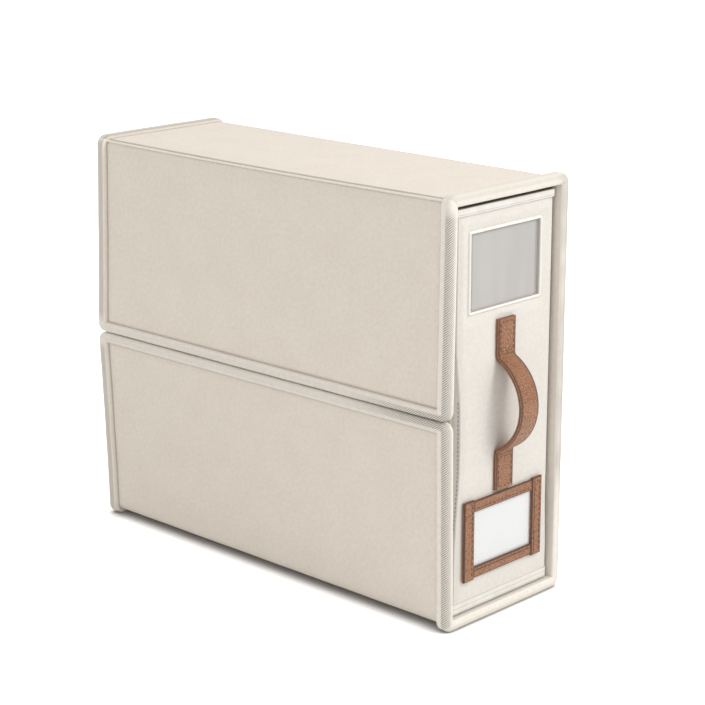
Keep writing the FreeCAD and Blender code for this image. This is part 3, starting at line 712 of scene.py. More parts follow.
def rounded_fold(radius_at):
    """The section of a fold whose rounding changes along the sleeve."""
    def section(v, level, upright):
        radius = radius_at(v)
        start = float(level(COVER_DEPTH + radius, v))
        side = float(upright(COVER_DEPTH + radius, v))
        turns = np.radians(np.linspace(90, 0, ROUND_STEPS))
        flat = np.linspace(FOLD_REACH, side + radius, 4)[:-1]
        drop = np.linspace(start + radius, FOLD_REACH, 4)[1:]
        inset = np.concatenate((flat, side + radius - radius * np.cos(turns), upright(drop, v)))
        down = np.concatenate((level(flat, v), start + radius - radius * np.sin(turns), drop))
        return np.stack((inset, down), axis=-1)
    return section


def creased_fold(v, level, upright):
    """The section of the upper flap's fold: a small cliff and a groove beside the rolled seam."""
    flat = np.array(CREASE_FLAT)
    crease = np.array(CREASE)
    sunk = float(level(crease[0, 0], v)) - COVER_DEPTH
    side = float(upright(crease[-1, 1], v)) - COVER_DEPTH
    inset = np.concatenate((flat, crease[:, 0] + side, upright(np.array([FOLD_REACH]), v)))
    down = np.concatenate((level(flat, v), crease[:, 1] + sunk * np.array(SUNK_PART), [FOLD_REACH]))
    return np.stack((inset, down), axis=-1)


def fold_strip(name, section, fold, start, turned=1):
    """A skin of fabric over a fold. start is where it begins on the cloth map."""
    level, upright, across, put = fold
    rings = []
    flat = []
    shaded = []
    for v in grid_lines(LOW_EDGE, HIGH_EDGE, CLOTH_STEP, BORDER):
        line = section(v, lambda a, v: cover_depth(level)(across(a), v),
                       lambda b, v: cover_depth(upright)(put(b), v))
        heading = np.gradient(line, axis=0)
        heading /= np.linalg.norm(heading, axis=1)[:, None]
        under = line + SKIN * np.stack((heading[:, 1], -heading[:, 0]), axis=-1)
        ring = np.concatenate((line, under[::-1]))
        rings.append(panel_place(upright)(put(ring[:, 1]), np.full(len(ring), v), ring[:, 0]))
        run = steps_along(line)
        run = start + turned * run * STRIP_LENGTH / run[-1]
        # Painted shade where the fabric dives under the bindings, darker still in the groove beside the
        # rolled seam
        dark = np.full(len(line), edge_shade(min(v - LOW_EDGE, HIGH_EDGE - v)))
        if section is creased_fold:
            dark[len(CREASE_FLAT):len(CREASE_FLAT) + GROOVE_POINTS] = GROOVE_DARK
        shaded.append(np.concatenate((dark, 0 * dark)))
        run = np.concatenate((run, run[::-1], run[:1]))
        flat.append(np.stack((run, np.full(len(run), v)), axis=-1))
    return loft(name, cloth_ripple(np.array(rings)), np.array(flat), marks={"shaded": np.array(shaded)})


def fold_roll(name, fold):
    """A thin roll of tape along the upper flap's fold."""
    radius = shape().fold_roll
    upright, put = fold[1], fold[3]
    rings = []
    for v in np.linspace(LOW_EDGE - 0.5 * MM, HIGH_EDGE + 0.5 * MM, 90):
        inset = ROLL_CENTRE[0] + radius * np.cos(TUBE_TURNS)
        down = ROLL_CENTRE[1] + sag_at(v) + radius * np.sin(TUBE_TURNS)
        rings.append(panel_place(upright)(put(down), np.full(len(TUBE_TURNS), v), inset))
    return loft(name, ripple(np.array(rings), 14 * MM, 0.12 * MM, 2.0))


FOLDS = {
    "lid": ("top", "wall", same, lambda b: SPANS["wall"] - b),
    "upper_flap": ("top", "upper_flap", lambda a: SPANS["top"] - a, same),
    "lower_flap": ("base", "lower_flap", same, same),
    "wall": ("base", "wall", lambda a: SPANS["base"] - a, same),
}
BEND = (3 * MM, 9 * MM)


def fold_point(fold, inset, down):
    """A point of a fold at half the sleeve's length."""
    return Vector(panel_place(fold[1])(fold[3](np.array(down)), np.array(0.0), np.array(inset)))


class ORGANIZER_OT_folds(bpy.types.Operator):
    """Strips of linen over the four folds of the sleeve, and the rolled seam along one of them"""
    bl_idname = "organizer.folds"
    bl_label = "Folds"

    def execute(self, context):
        linen = linen_finish("sleeve_linen", finish().linen)
        sizes = shape()

        def lid_round(v):
            share = np.clip((v - LOW_EDGE) / (HIGH_EDGE - LOW_EDGE), 0, 1)
            radius = sizes.front_round + (sizes.rear_round - sizes.front_round) * share
            return min(radius, END_ROUND + END_SLOPE * (v - LOW_EDGE))

        def low_round(v):
            return min(sizes.low_round, END_ROUND + END_SLOPE * min(v - LOW_EDGE, HIGH_EDGE - v))

        low_start = FOLD_REACH - STRIP_LENGTH
        for key, section, start, turned, bodies in (
            ("lid", rounded_fold(lid_round), FOLD_REACH, -1, ("lid", "sleeve")),
            ("upper_flap", creased_fold, SPANS["top"] - FOLD_REACH, 1, ("lid", "upper_flap")),
            ("lower_flap", rounded_fold(low_round), low_start, 1, ("sleeve", "lower_flap")),
            ("wall", rounded_fold(low_round), low_start, 1, None),
        ):
            fold = FOLDS[key]
            strip = fold_strip(key + "_fold_fabric", section, fold, start, turned)
            pieces = [(strip, "sleeve_linen", linen)]
            if key == "upper_flap":
                pieces.append((fold_roll("upper_flap_fold_seam", fold), "binding_tape", tape_finish()))
            for piece, slot, material in pieces:
                if bodies is None:
                    finish_piece(piece, "sleeve", slot, material)
                    continue
                ends = (fold_point(fold, BEND[1], BEND[0]), fold_point(fold, BEND[0], BEND[1]))
                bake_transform(piece)
                piece.data.materials.append(material)
        return {"FINISHED"}


# Linings of the sleeve, and their turn over the boards' edges at a fold as places across and in

LINING_TURN = ((6.5 * MM, 6.5 * MM), (RIM - 0.9 * MM, RIM - 0.9 * MM),
               (RIM - 0.3 * MM, RIM - 0.35 * MM), (RIM + 0.4 * MM, RIM))
LINING_CLEAR = 0.25 * MM
LINING_TUCK = 0.4 * MM
LINING_SHORT = 0.2 * MM


def panel_lining(panel):
    """The inner cloth of a panel. It turns outwards over the boards' edges at each fold."""
    span = SPANS[panel]
    flap = panel.endswith("flap")
    far = span - EDGE_TAPE + LINING_SHORT if flap else span
    line = [(u + LINING_CLEAR, w) for u, w in LINING_TURN]
    line += [(u, RIM) for u in np.linspace(RIM + 8 * MM, far - RIM - 8 * MM, 12)]
    if flap:
        line += [(far, RIM - 0.1 * MM), (far, LINING_DEPTH)]
    else:
        line += [(span - u - LINING_CLEAR, w) for u, w in LINING_TURN[::-1]]
        line += [(far - RIM + 0.5 * MM, LINING_DEPTH), (far - RIM - 1.5 * MM, LINING_DEPTH)]
    line += [(RIM + 1.5 * MM, LINING_DEPTH), (RIM - 0.5 * MM, LINING_DEPTH)]
    section = np.array(line)
    levels = np.linspace(FRONT + TAPE - LINING_TUCK, REAR - TAPE + LINING_TUCK, 30)
    place = panel_place(panel)
    rings = [place(section[:, 0], np.full(len(section), level), section[:, 1]) for level in levels]
    return loft(panel + "_inner_cloth", np.array(rings))


class ORGANIZER_OT_inner_cloth(bpy.types.Operator):
    """Smooth cloth inside the sleeve"""
    bl_idname = "organizer.inner_cloth"
    bl_label = "Inner cloth"

    def execute(self, context):
        cloth = lining_finish("sleeve_lining_cloth")
        for panel, body in BODIES.items():
            piece = finish_piece(panel_lining(panel), body, "sleeve_lining_cloth", cloth, panel + "_lining")
        return {"FINISHED"}


# Boards of the sleeve, which stop short of the rounded folds, and magnets of the flaps

BOARD_START = 9.5 * MM
MAGNET_LENGTH = 24 * MM


def sleeve_board(panel):
    """The stiffening board of a panel, bowed as its panel is."""
    web = WEB + 0.1 * MM
    far = SPANS[panel] - (web if panel.endswith("flap") else BOARD_START)
    us = grid_lines(BOARD_START, far, 12 * MM)
    vs = grid_lines(FRONT + web, REAR - web, 12 * MM)
    return padded_sheet(panel + "_stiff_board", us, vs, level_at(BOARD_DEPTH),
                        level_at(LINING_DEPTH - HAIR), panel_place(panel))


def flap_magnets(panel):
    """Bar magnets in slots of the flap's board, bowed as it is."""
    low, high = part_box(panel + "_magnets")
    half = MAGNET_LENGTH / 2
    pitch = (high.y - low.y - MAGNET_LENGTH) / 2
    deep = high.z - low.z
    u_low = SPANS[panel] - WEB - deep
    points = []
    faces = []
    uvs = []
    us = grid_lines(u_low, u_low + deep, 2 * MM)
    for side in (-1, 0, 1):
        middle = (low.y + high.y) / 2 + side * pitch
        vs = grid_lines(middle - half, middle + half, 4 * MM)
        bar = padded_sheet("bar", us, vs, level_at(BOARD_DEPTH - 0.02 * MM),
                           level_at(LINING_DEPTH - 0.03 * MM), panel_place(panel))
        start = len(points)
        points += [vertex.co[:] for vertex in bar.data.vertices]
        faces += [tuple(start + index for index in polygon.vertices) for polygon in bar.data.polygons]
        uvs += [item.uv[:] for item in bar.data.uv_layers["cloth"].data]
        bpy.data.objects.remove(bar)
    return new_piece(panel + "_magnet_bars", points, faces, uvs)


class ORGANIZER_OT_boards(bpy.types.Operator):
    """Boards of the sleeve, magnets of the flaps, and the finish of the drawer's boards"""
    bl_idname = "organizer.boards"
    bl_label = "Boards and magnets"

    def execute(self, context):
        board = board_finish()
        steel = magnet_finish()
        for panel, body in BODIES.items():
            finish_piece(sleeve_board(panel), body, "stiff_board", board, panel + "_board")
        for panel in ("upper_flap", "lower_flap"):
            finish_piece(flap_magnets(panel), panel, "bar_magnet", steel, panel + "_magnets")
        for side in ("back", "left", "right", "floor"):
            repaint("drawer_%s_board" % side, board)
        finish_piece(front_board(), "drawer", "stiff_board", board, "drawer_front_board")
        return {"FINISHED"}


def repaint(node, material):
    """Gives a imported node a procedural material."""
    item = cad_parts[node]
    if not item.material_slots:
        item.data.materials.append(material)
    for place in item.material_slots:
        place.material = material


# The drawer

SIDE_ROUND = 2.2 * MM
SIDE_START = 1.5 * MM
PIPING = 2.5 * MM
AROUND_WINDOW = tuple(gap * MM for gap in (4.6, 3.8, 3.4, 3.15, 2.9, 2.5, 1.2, 0.7, 0.4, 0.0))
COVER_ROUND = 1.0 * MM
COVER_DROP = 0.8 * MM
COVER_PUFF = 0.5 * MM
LINING_RIPPLE = 0.1 * MM
LINING_SAG = 0.12 * MM
HEMS_OVER = (6.5 * MM, 5 * MM)
SWELL_RISE = (0.5 * MM, 9 * MM)
HELD_RISE = (0.2 * MM, 8 * MM)
PIPE_GROOVE = 0.45 * MM
PIPE_GROOVE_AT = 0.5 * MM
PIPE_GROOVE_WIDTH = 0.3 * MM
EDGE_LEAST = 1.2 * MM

# The sewn seam down the front's left edge, from the drawer's lower edge up
SEAM_LEAST = 0.36
SEAM_WIDENING = 1.6
SEAM_WIDENS = (40 * MM, 110 * MM)
SEAM_NARROWS = (150 * MM, 205 * MM)
SEAM_STITCHED = (40 * MM, 160 * MM)
SEAM_PITCH = 3.2 * MM
SEAM_STITCH = 2 * MM
SEAM_INSET = 1.4 * MM
# Painted shade: how dark the sunk seam is, and the softer shade beside it
SEAM_DARK = 0.62
SEAM_SOFT = 0.1
SEAM_SOFT_REACH = 9 * MM
SEAM_DEPTH = 0.8 * MM
SEAM_RIDGE = 0.25 * MM
SEAM_RIDGE_AT = 0.7 * MM
SEAM_RIDGE_WIDTH = 0.5 * MM


def drawer_cover(name, axis, side):
    """One outer cover of the drawer, a little padded, with rounded borders."""
    low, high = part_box("drawer_%s_cover" % name)
    thick = high[axis] - low[axis]
    first, second = [index for index in range(3) if index != axis]
    if axis == 0:
        low[first] = DRAWER_FRONT + (SIDE_START if side > 0 else SIDE_ROUND)
    us = grid_lines(low[first], high[first], 10 * MM, BORDER[:7])
    vs = grid_lines(low[second], high[second], 10 * MM, BORDER[:7])
    puff = 0.0 if name == "floor" else COVER_PUFF

    def outer(u, v):
        gap = to_border(u, v, low[first], high[first], low[second], high[second])
        rise = soft_edge(gap, COVER_ROUND) * COVER_DROP - COVER_DROP
        uneven = 1 + 0.6 * unevenness(u, v, 60 * MM, axis)
        return rise + puff * smooth_step(gap, 2 * MM, 14 * MM) * uneven

    place = place_on(axis, lambda w: high[axis] + w if side > 0 else low[axis] - w)
    return padded_sheet("drawer_%s_fabric" % name, us, vs, outer, level_at(-thick), place)


def window_hole(grow=0.0):
    """The clear window as low and high across, low and high up."""
    low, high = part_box("window_piping")
    edge = PIPING - grow
    return low.x + edge, high.x - edge, low.z + edge, high.z - edge


def front_lines(low, high, hole_low, hole_high, step, extra=()):
    """Grid lines that meet both ends and both sides of the window."""
    around = np.array(AROUND_WINDOW)
    left = grid_lines(low, hole_low - around[0], step, BORDER[:8])
    middle = np.linspace(hole_low, hole_high, 12)[1:-1]
    right = grid_lines(hole_high + around[0], high, step, BORDER[:8])
    lines = np.concatenate((left, hole_low - around, middle, hole_high + around, right, extra))
    return np.unique(np.round(lines, 7))


def front_depth():
    """How far the drawer's front stands out: padded, held down by what is sewn on, with a sunk seam
    down its left edge and rounded side edges."""
    low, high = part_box("drawer_front_cover")
    pipe = window_hole(PIPING)
    label_low, label_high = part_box("label_left_strip")
    strap_low, strap_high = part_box("handle_leather")
    tab_low = (strap_low.z, strap_low.z + shape().lower_tab)
    tab_high = (strap_high.z - shape().upper_tab, strap_high.z)

    def to_box(u, v, left, right, bottom, top):
        across = np.maximum(np.maximum(left - u, u - right), 0)
        up = np.maximum(np.maximum(bottom - v, v - top), 0)
        return np.hypot(across, up)

    def outer(u, v):
        to_side = np.minimum(u - low.x, high.x - u)
        to_hem = np.minimum(v - low.z - HEMS_OVER[0], high.z - HEMS_OVER[1] - v)
        gap = np.minimum(to_side, to_hem)
        to_pipe = to_box(u, v, *pipe)
        held = np.minimum(to_pipe, to_box(u, v, label_low.x, high.x, label_low.z, label_high.z))
        held = np.minimum(held, to_box(u, v, strap_low.x, strap_high.x, *tab_low))
        held = np.minimum(held, to_box(u, v, strap_low.x, strap_high.x, *tab_high))
        rise = smooth_step(gap, *SWELL_RISE) * smooth_step(held, *HELD_RISE)
        uneven = 1 + 0.5 * unevenness(u, v, 42 * MM, 2.0)
        groove = PIPE_GROOVE * np.exp(-((to_pipe - PIPE_GROOVE_AT) / PIPE_GROOVE_WIDTH) ** 2)
        rounding = SIDE_ROUND * smooth_step(v - low.z, 20 * MM, 70 * MM) + EDGE_LEAST
        edge = soft_edge(to_side, rounding) * rounding - rounding
        sunk, ridge, _ = seam_share(u, v)
        level = edge + shape().front_swell * rise * uneven - groove
        return level - SEAM_DEPTH * sunk + SEAM_RIDGE * ridge
    return outer


def seam_edge(v):
    """How far the seam down the front's left edge reaches in: furthest where the flaps stand off it."""
    height = v - DRAWER_LOW
    wide = smooth_step(height, *SEAM_WIDENS) * (1 - smooth_step(height, *SEAM_NARROWS))
    return SEAM_LEAST * shape().seam_width * (1 + SEAM_WIDENING * wide)


def seam_share(u, v):
    """How much of a place is in the seam down the front's left edge, on the ridge beside it, and in
    the soft painted shade beyond."""
    past = u - DRAWER_LEFT - seam_edge(v)
    sunk = 1 - smooth_step(past, -0.5 * MM, 0.0)
    ridge = np.exp(-((past - SEAM_RIDGE_AT) / SEAM_RIDGE_WIDTH) ** 2)
    soft = (1 - smooth_step(past, 0.0, SEAM_SOFT_REACH)) * smooth_step(past, 0.4 * MM, 1.4 * MM)
    return sunk, ridge, soft


def front_grid(low, high, step, extra=()):
    """Grid lines across and up a layer of the drawer's front, and the window that is left out."""
    hole = window_hole()
    us = front_lines(low.x, high.x, hole[0], hole[1], step, extra)
    vs = front_lines(low.z, high.z, hole[2], hole[3], step)
    return us, vs, hole


front_place = place_on(1, lambda w: DRAWER_FRONT - w)


def front_fabric():
    """The padded outer fabric of the drawer's front, with the window cut out. The window's cut edge and the
    seam down the left edge are darkened as painted shade.
    """
    low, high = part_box("drawer_front_cover")
    seam = low.x + np.arange(1.6 * MM, shape().seam_width + 3 * MM, 0.35 * MM)
    us, vs, hole = front_grid(low, high, 6 * MM, seam)
    outer = front_depth()
    thick = high.y - low.y

    def inner(u, v):
        return np.minimum(outer(u, v) - 0.6 * MM, -thick)

    def dark(u, v):
        across = np.maximum(hole[0] - u, u - hole[1])
        up = np.maximum(hole[2] - v, v - hole[3])
        # Painted shade on the window's cut edge, in the sunk seam and, softer, beside it
        cut = 1 - smooth_step(np.maximum(across, up), 0.2 * MM, 0.7 * MM)
        sunk, _, soft = seam_share(u, v)
        return np.maximum(SEAM_DARK * sunk + SEAM_SOFT * soft, cut)

    return padded_sheet("drawer_front_fabric", us, vs, outer, inner, front_place, hole,
                        marks={"shaded": dark})


def front_board():
    """The board behind the drawer's front, rounded with the fabric at its side edges."""
    low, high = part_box("drawer_front_board")
    us, vs, hole = front_grid(low, high, 12 * MM)
    outer = front_depth()
    fabric = low.y - DRAWER_FRONT

    def face(u, v):
        return np.clip(outer(u, v) - 0.65 * MM, DRAWER_FRONT - high.y + 0.1 * MM, -fabric)

    return padded_sheet("drawer_front_stiff_board", us, vs, face, level_at(DRAWER_FRONT - high.y),
                        front_place, hole)


def front_seam():
    """Short stitches down the seam at the left of the drawer's front."""
    outer = front_depth()
    rows = []
    for start in np.arange(DRAWER_LOW + SEAM_STITCHED[0], DRAWER_LOW + SEAM_STITCHED[1], SEAM_PITCH):
        across = DRAWER_LEFT + seam_edge(start) - SEAM_INSET
        level = DRAWER_FRONT - float(outer(np.array(across), np.array(start)))
        rows.append(((across, level, start), (across, level, start + SEAM_STITCH)))
    return stitch_mesh("drawer_front_seam_thread", rows)


def front_lining():
    """The cloth behind the drawer's front board, with the window cut out."""
    low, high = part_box("drawer_front_lining")
    us, vs, hole = front_grid(low, high, 10 * MM)

    def inner(u, v):
        return high.y - LINING_RIPPLE * (1 + unevenness(u, v, 40 * MM, 6.0))

    return padded_sheet("drawer_front_inner_cloth", us, vs, inner, level_at(low.y),
                        place_on(1, same), hole)


def drawer_lining(name, axis, inward):
    """One inner cloth of the drawer, with a soft unevenness on the side that shows."""
    low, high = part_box("drawer_%s_lining" % name)
    first, second = [index for index in range(3) if index != axis]
    us = grid_lines(low[first], high[first], 12 * MM, BORDER[:5])
    vs = grid_lines(low[second], high[second], 12 * MM, BORDER[:5])

    def inner(u, v):
        sag = LINING_SAG * (1 + unevenness(u, v, 45 * MM, axis + 3.0))
        return high[axis] - sag if inward > 0 else low[axis] + sag

    outer = level_at(low[axis] if inward > 0 else high[axis])
    return padded_sheet("drawer_%s_inner_cloth" % name, us, vs, inner, outer, place_on(axis, same))


class ORGANIZER_OT_drawer_fabric(bpy.types.Operator):
    """Outer fabric and inner cloth of the drawer"""
    bl_idname = "organizer.drawer_fabric"
    bl_label = "Drawer fabric"

    def execute(self, context):
        front = linen_finish("drawer_front_cloth", finish().front)
        sides = linen_finish("drawer_cloth", finish().front)
        cloth = lining_finish("drawer_lining_cloth")
        piece = finish_piece(front_fabric(), "drawer", "drawer_front_cloth", front, "drawer_front_cover")
        finish_piece(front_seam(), "drawer", "drawer_hem_cloth", seam_thread_finish())
        for name, axis, side in (("back", 1, 1), ("left", 0, -1), ("right", 0, 1), ("floor", 2, -1)):
            made = (("cover", drawer_cover(name, axis, side), "drawer_cloth", sides),
                    ("lining", drawer_lining(name, axis, -side), "drawer_lining_cloth", cloth))
            for layer, piece, slot, material in made:
                node = "drawer_%s_%s" % (name, layer)
                finish_piece(piece, "drawer", slot, material, node)
                self.lay(piece, node, axis, "drawer_%s_board" % name)
        piece = finish_piece(front_lining(), "drawer", "drawer_lining_cloth", cloth, "drawer_front_lining")
        self.lay(piece, "drawer_front_lining", 1, "drawer_front_stiff_board")
        return {"FINISHED"}

    def lay(self, piece, node, axis, board):
        """Takes a flat layer of cloth, its node, axis and board, and does nothing with them."""


# Hems and piping, swept round closed rectangles

HEM_LIFT = 0.8 * MM
HEM_WALL = 7.4 * MM
HEM_CORNER = 4 * MM
HEM_DARK_REACH = 9 * MM
TUBE = 1.9 * MM
TUBE_CORNER = 2.2 * MM
TUBE_LIFT = 0.3 * MM
FILM_WAVES = (30 * MM, 0.12 * MM)


def rectangle_path(half_x, half_y, radius, steps, spacing):
    """Points and outward directions round a rectangle with rounded corners, as an open list."""
    points = []
    normals = []
    corners = ((half_x, half_y, 0), (-half_x, half_y, 90), (-half_x, -half_y, 180), (half_x, -half_y, 270))
    for index, (x, y, start) in enumerate(corners):
        centre = (x - math.copysign(radius, x), y - math.copysign(radius, y))
        for turn in np.radians(np.linspace(start, start + 90, steps)):
            normals.append((math.cos(turn), math.sin(turn)))
            points.append((centre[0] + radius * normals[-1][0], centre[1] + radius * normals[-1][1]))
        following = corners[(index + 1) % 4]
        goal_turn = math.radians(following[2])
        goal = (following[0] - math.copysign(radius, following[0]) + radius * math.cos(goal_turn),
                following[1] - math.copysign(radius, following[1]) + radius * math.sin(goal_turn))
        run = math.dist(points[-1], goal)
        count = max(int(run / spacing), 1)
        start_point = points[-1]
        for step in range(1, count):
            share = step / count
            points.append((start_point[0] + (goal[0] - start_point[0]) * share,
                           start_point[1] + (goal[1] - start_point[1]) * share))
            normals.append(normals[-1])
    return np.array(points), np.array(normals)


def rings_round(low, high, axis, path_form, inward, levels):
    """Rings round a box, with a section of distances in from its sides and levels along one axis.
    path_form is the corners' radius, the steps round each and the spacing between them."""
    first, second = [index for index in range(3) if index != axis]
    centre = (low + high) / 2
    path, normals = rectangle_path(
        (high[first] - low[first]) / 2, (high[second] - low[second]) / 2, *path_form)
    rings = np.empty((len(path), len(inward), 3))
    rings[:, :, first] = centre[first] + path[:, None, 0] - normals[:, None, 0] * inward
    rings[:, :, second] = centre[second] + path[:, None, 1] - normals[:, None, 1] * inward
    rings[:, :, axis] = levels
    return rings


def hem_band(name, node, section):
    """A band round the drawer. Its section gives the distance in from the outer face, the height and,
    at the drawer's front, how dark each line is painted as shade."""
    low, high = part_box(node)
    inward, heights, dark = np.array(section).T
    rings = rings_round(low, high, 2, (HEM_CORNER, 6, RING_STEP), inward, heights)
    marks = {"shaded": dark * (rings[:, :, 1] < low.y + HEM_DARK_REACH)}
    rings = ripple(rings, 22 * MM, 0.08 * MM, ((low + high) / 2).z * 40)
    return loft(name, rings, closed=True, sharp=math.radians(35), marks=marks)


class ORGANIZER_OT_drawer_hems(bpy.types.Operator):
    """Folded bands along the drawer's top and bottom edges"""
    bl_idname = "organizer.drawer_hems"
    bl_label = "Drawer hems"

    def execute(self, context):
        hem = hem_finish()
        for edge, section in (("top", self.top_section()), ("bottom", self.bottom_section())):
            node = "drawer_%s_hem" % edge
            finish_piece(hem_band("drawer_%s_band" % edge, node, section), "drawer", "drawer_hem_cloth",
                         hem, node)
        return {"FINISHED"}

    def top_section(self):
        """The upper band, folded over the drawer's edge. Its top, seen in the gap under the rim, and its
        foot and groove are darkened as painted shade.
        """
        low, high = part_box("drawer_top_hem")
        foot = low.z
        flat = high.z - 1.25 * MM
        peak = high.z - 0.9 * MM
        wall = HEM_WALL
        return [
            (1.15 * MM, foot, 0.6), (0.3 * MM, foot + 0.02 * MM, 0.35), (0.05 * MM, foot + 0.3 * MM, 0),
            (0.0, foot + 1 * MM, 0), (0.0, foot + 1.3 * MM, 0), (0.25 * MM, foot + 1.45 * MM, 0.55),
            (0.0, foot + 1.65 * MM, 0), (0.05 * MM, peak - 1.0 * MM, 0), (0.25 * MM, peak - 0.35 * MM, 0),
            (0.9 * MM, peak, 0.8), (3.7 * MM, peak, 0.95), (wall - 0.9 * MM, peak, 0.95),
            (wall - 0.3 * MM, peak - 0.4 * MM, 0), (wall, peak - 1.2 * MM, 0), (wall, foot + 0.7 * MM, 0),
            (wall - 0.4 * MM, foot, 0), (wall - 1.1 * MM, foot, 0), (wall - 1.2 * MM, flat, 0),
            (1.25 * MM, flat, 0),
        ]

    def bottom_section(self):
        """The lower band, with a row of stitching sunk in near its foot and one near its top. Its foot,
        both rows and its top edge are darkened as painted shade.
        """
        low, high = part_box("drawer_bottom_hem")
        foot = low.z + HEM_LIFT
        peak = high.z + HEM_LIFT
        return [
            (1.15 * MM, foot, 0.9), (0.3 * MM, foot, 0.9), (0.05 * MM, foot + 0.3 * MM, 0.7),
            (0.0, foot + 1.2 * MM, 0), (0.25 * MM, foot + 1.4 * MM, 0.6), (0.0, foot + 1.6 * MM, 0),
            (0.0, peak - 3.3 * MM, 0), (0.25 * MM, peak - 3.1 * MM, 0.6), (0.0, peak - 2.9 * MM, 0),
            (0.0, peak - 0.5 * MM, 0), (0.2 * MM, peak - 0.1 * MM, 0), (1.15 * MM, peak, 0.6),
        ]


class ORGANIZER_OT_window(bpy.types.Operator):
    """Hazy film behind the front fabric, and the soft tube round its opening"""
    bl_idname = "organizer.window"
    bl_label = "Window"

    def execute(self, context):
        low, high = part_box("window_piping")
        inward = TUBE / 2 - TUBE / 2 * np.cos(TUBE_TURNS)
        out = TUBE_LIFT + TUBE / 2 * np.sin(TUBE_TURNS)
        rings = rings_round(low, high, 1, (TUBE_CORNER, 8, 5 * MM), inward, DRAWER_FRONT - out)
        piping = loft("window_soft_tube", ripple(rings, 16 * MM, 0.12 * MM, 4.0), closed=True)
        finish_piece(piping, "drawer", "window_piping", piping_finish(), "window_piping")
        low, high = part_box("window_film")
        us = grid_lines(low.x, high.x, 5 * MM)
        vs = grid_lines(low.z, high.z, 5 * MM)

        def face(level):
            return lambda u, v: level + FILM_WAVES[1] * unevenness(u, v, FILM_WAVES[0], 1.0)

        film = padded_sheet("window_clear_film", us, vs, face(low.y + 0.15 * MM),
                            face(high.y - 0.1 * MM), place_on(1, same))
        finish_piece(film, "drawer", "window_film", film_finish(), "window_film")
        return {"FINISHED"}


# Leather: the strap handle and the label frame

TAB_GAP = 1.2 * MM
TAB_STEPS = 8
BEND_STEPS = 10
BOW_STEPS = 33


def strap_line():
    """The strap's side view along its back: distance out, height and outward direction of each point."""
    low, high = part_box("handle_backing")
    sizes = shape()
    bend = sizes.strap_bend
    foot = low.z + sizes.lower_tab
    head = high.z - sizes.upper_tab
    span = head - foot
    rise = DRAWER_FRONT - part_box("handle_leather")[0].y - STRAP
    turn = 2 * math.atan2(rise, span / 2)
    reach = (span * span + 4 * rise * rise) / (8 * rise)
    bow = reach - bend
    centre = bend - (bend + bow) * math.cos(turn)
    points = []

    def add(out, height, angle):
        points.append((out, height, math.cos(angle), math.sin(angle)))

    for height in np.linspace(low.z, foot - TAB_GAP, TAB_STEPS):
        add(0.0, height, 0.0)
    add(0.0, foot - TAB_GAP / 2, 0.0)
    for angle in np.linspace(0, turn, BEND_STEPS)[:-1]:
        add(bend - bend * math.cos(angle), foot + bend * math.sin(angle), -angle)
    for angle in np.linspace(-turn, turn, BOW_STEPS):
        add(centre + bow * math.cos(angle), (foot + head) / 2 + bow * math.sin(angle), angle)
    for angle in np.linspace(turn, 0, BEND_STEPS)[1:]:
        add(bend - bend * math.cos(angle), head - bend * math.sin(angle), angle)
    add(0.0, head + TAB_GAP / 2, 0.0)
    for height in np.linspace(head + TAB_GAP, high.z, TAB_STEPS):
        add(0.0, height, 0.0)
    return np.array(points)


STRAP_EDGE = 0.45 * MM
EDGE_STEPS = (-1, -0.91, -0.82, -0.5, 0, 0.5, 0.82, 0.91, 1)
EDGE_DARK = (0.9, 0.75, 0, 0, 0, 0, 0, 0.75, 0.9)
SIDE_MARKS = (0.7, -0.8, 0.6)
CREASE_WIDTH = 0.55 * MM
CREASE_SHADE = 0.8


def strap_layer(name, near, far, crown):
    """One layer of the strap, with rounded edges, swept along its side view. Its arrises are marked dark
    as edge paint, the creases beside its sewn ends dark as painted shade, and its cut sides pale."""
    low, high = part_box("handle_leather")
    half = (high.x - low.x) / 2
    line = strap_line()
    inner = half - STRAP_EDGE
    right = [(half - 0.1 * MM, far - STRAP_EDGE * 0.35), (half, (near + far) / 2),
             (half - 0.1 * MM, near + 0.12 * MM)]
    section = [(side * inner, far + crown * (1 - side * side)) for side in EDGE_STEPS]
    section += right + [(inner, near), (-inner, near)]
    section += [(-across, lift) for across, lift in right[::-1]]
    worn = np.array(EDGE_DARK + SIDE_MARKS + (0, 0) + SIDE_MARKS[::-1], float)
    across, lift = np.array(section).T
    rings = np.empty((len(line), len(section), 3))
    rings[:, :, 0] = across
    rings[:, :, 1] = DRAWER_FRONT - (line[:, None, 0] + line[:, None, 2] * lift)
    rings[:, :, 2] = line[:, None, 1] + line[:, None, 3] * lift
    ends = (low.z + shape().lower_tab, high.z - shape().upper_tab)
    # Painted shade along the creases beside the sewn ends; the other marks are edge paint and pale cut
    # sides
    painted_crease_shade = sum(np.exp(-((line[:, 1] - end) / CREASE_WIDTH) ** 2) for end in ends)
    marks = worn[None, :] + CREASE_SHADE * painted_crease_shade[:, None] * (worn == 0)[None, :]
    return loft(name, rings, sharp=math.radians(40), marks={"worn": marks})


STITCH_RINGS = 6
STITCH_SIDES = 6
STITCH_THICK = 0.34 * MM
STITCH_BOW = 0.2 * MM
STITCH_IN = 0.3 * MM
LABEL_STITCH_IN = 2.4 * MM
OVER_LEATHER = 0.1 * MM
STRIP_BACK = 1.15 * MM


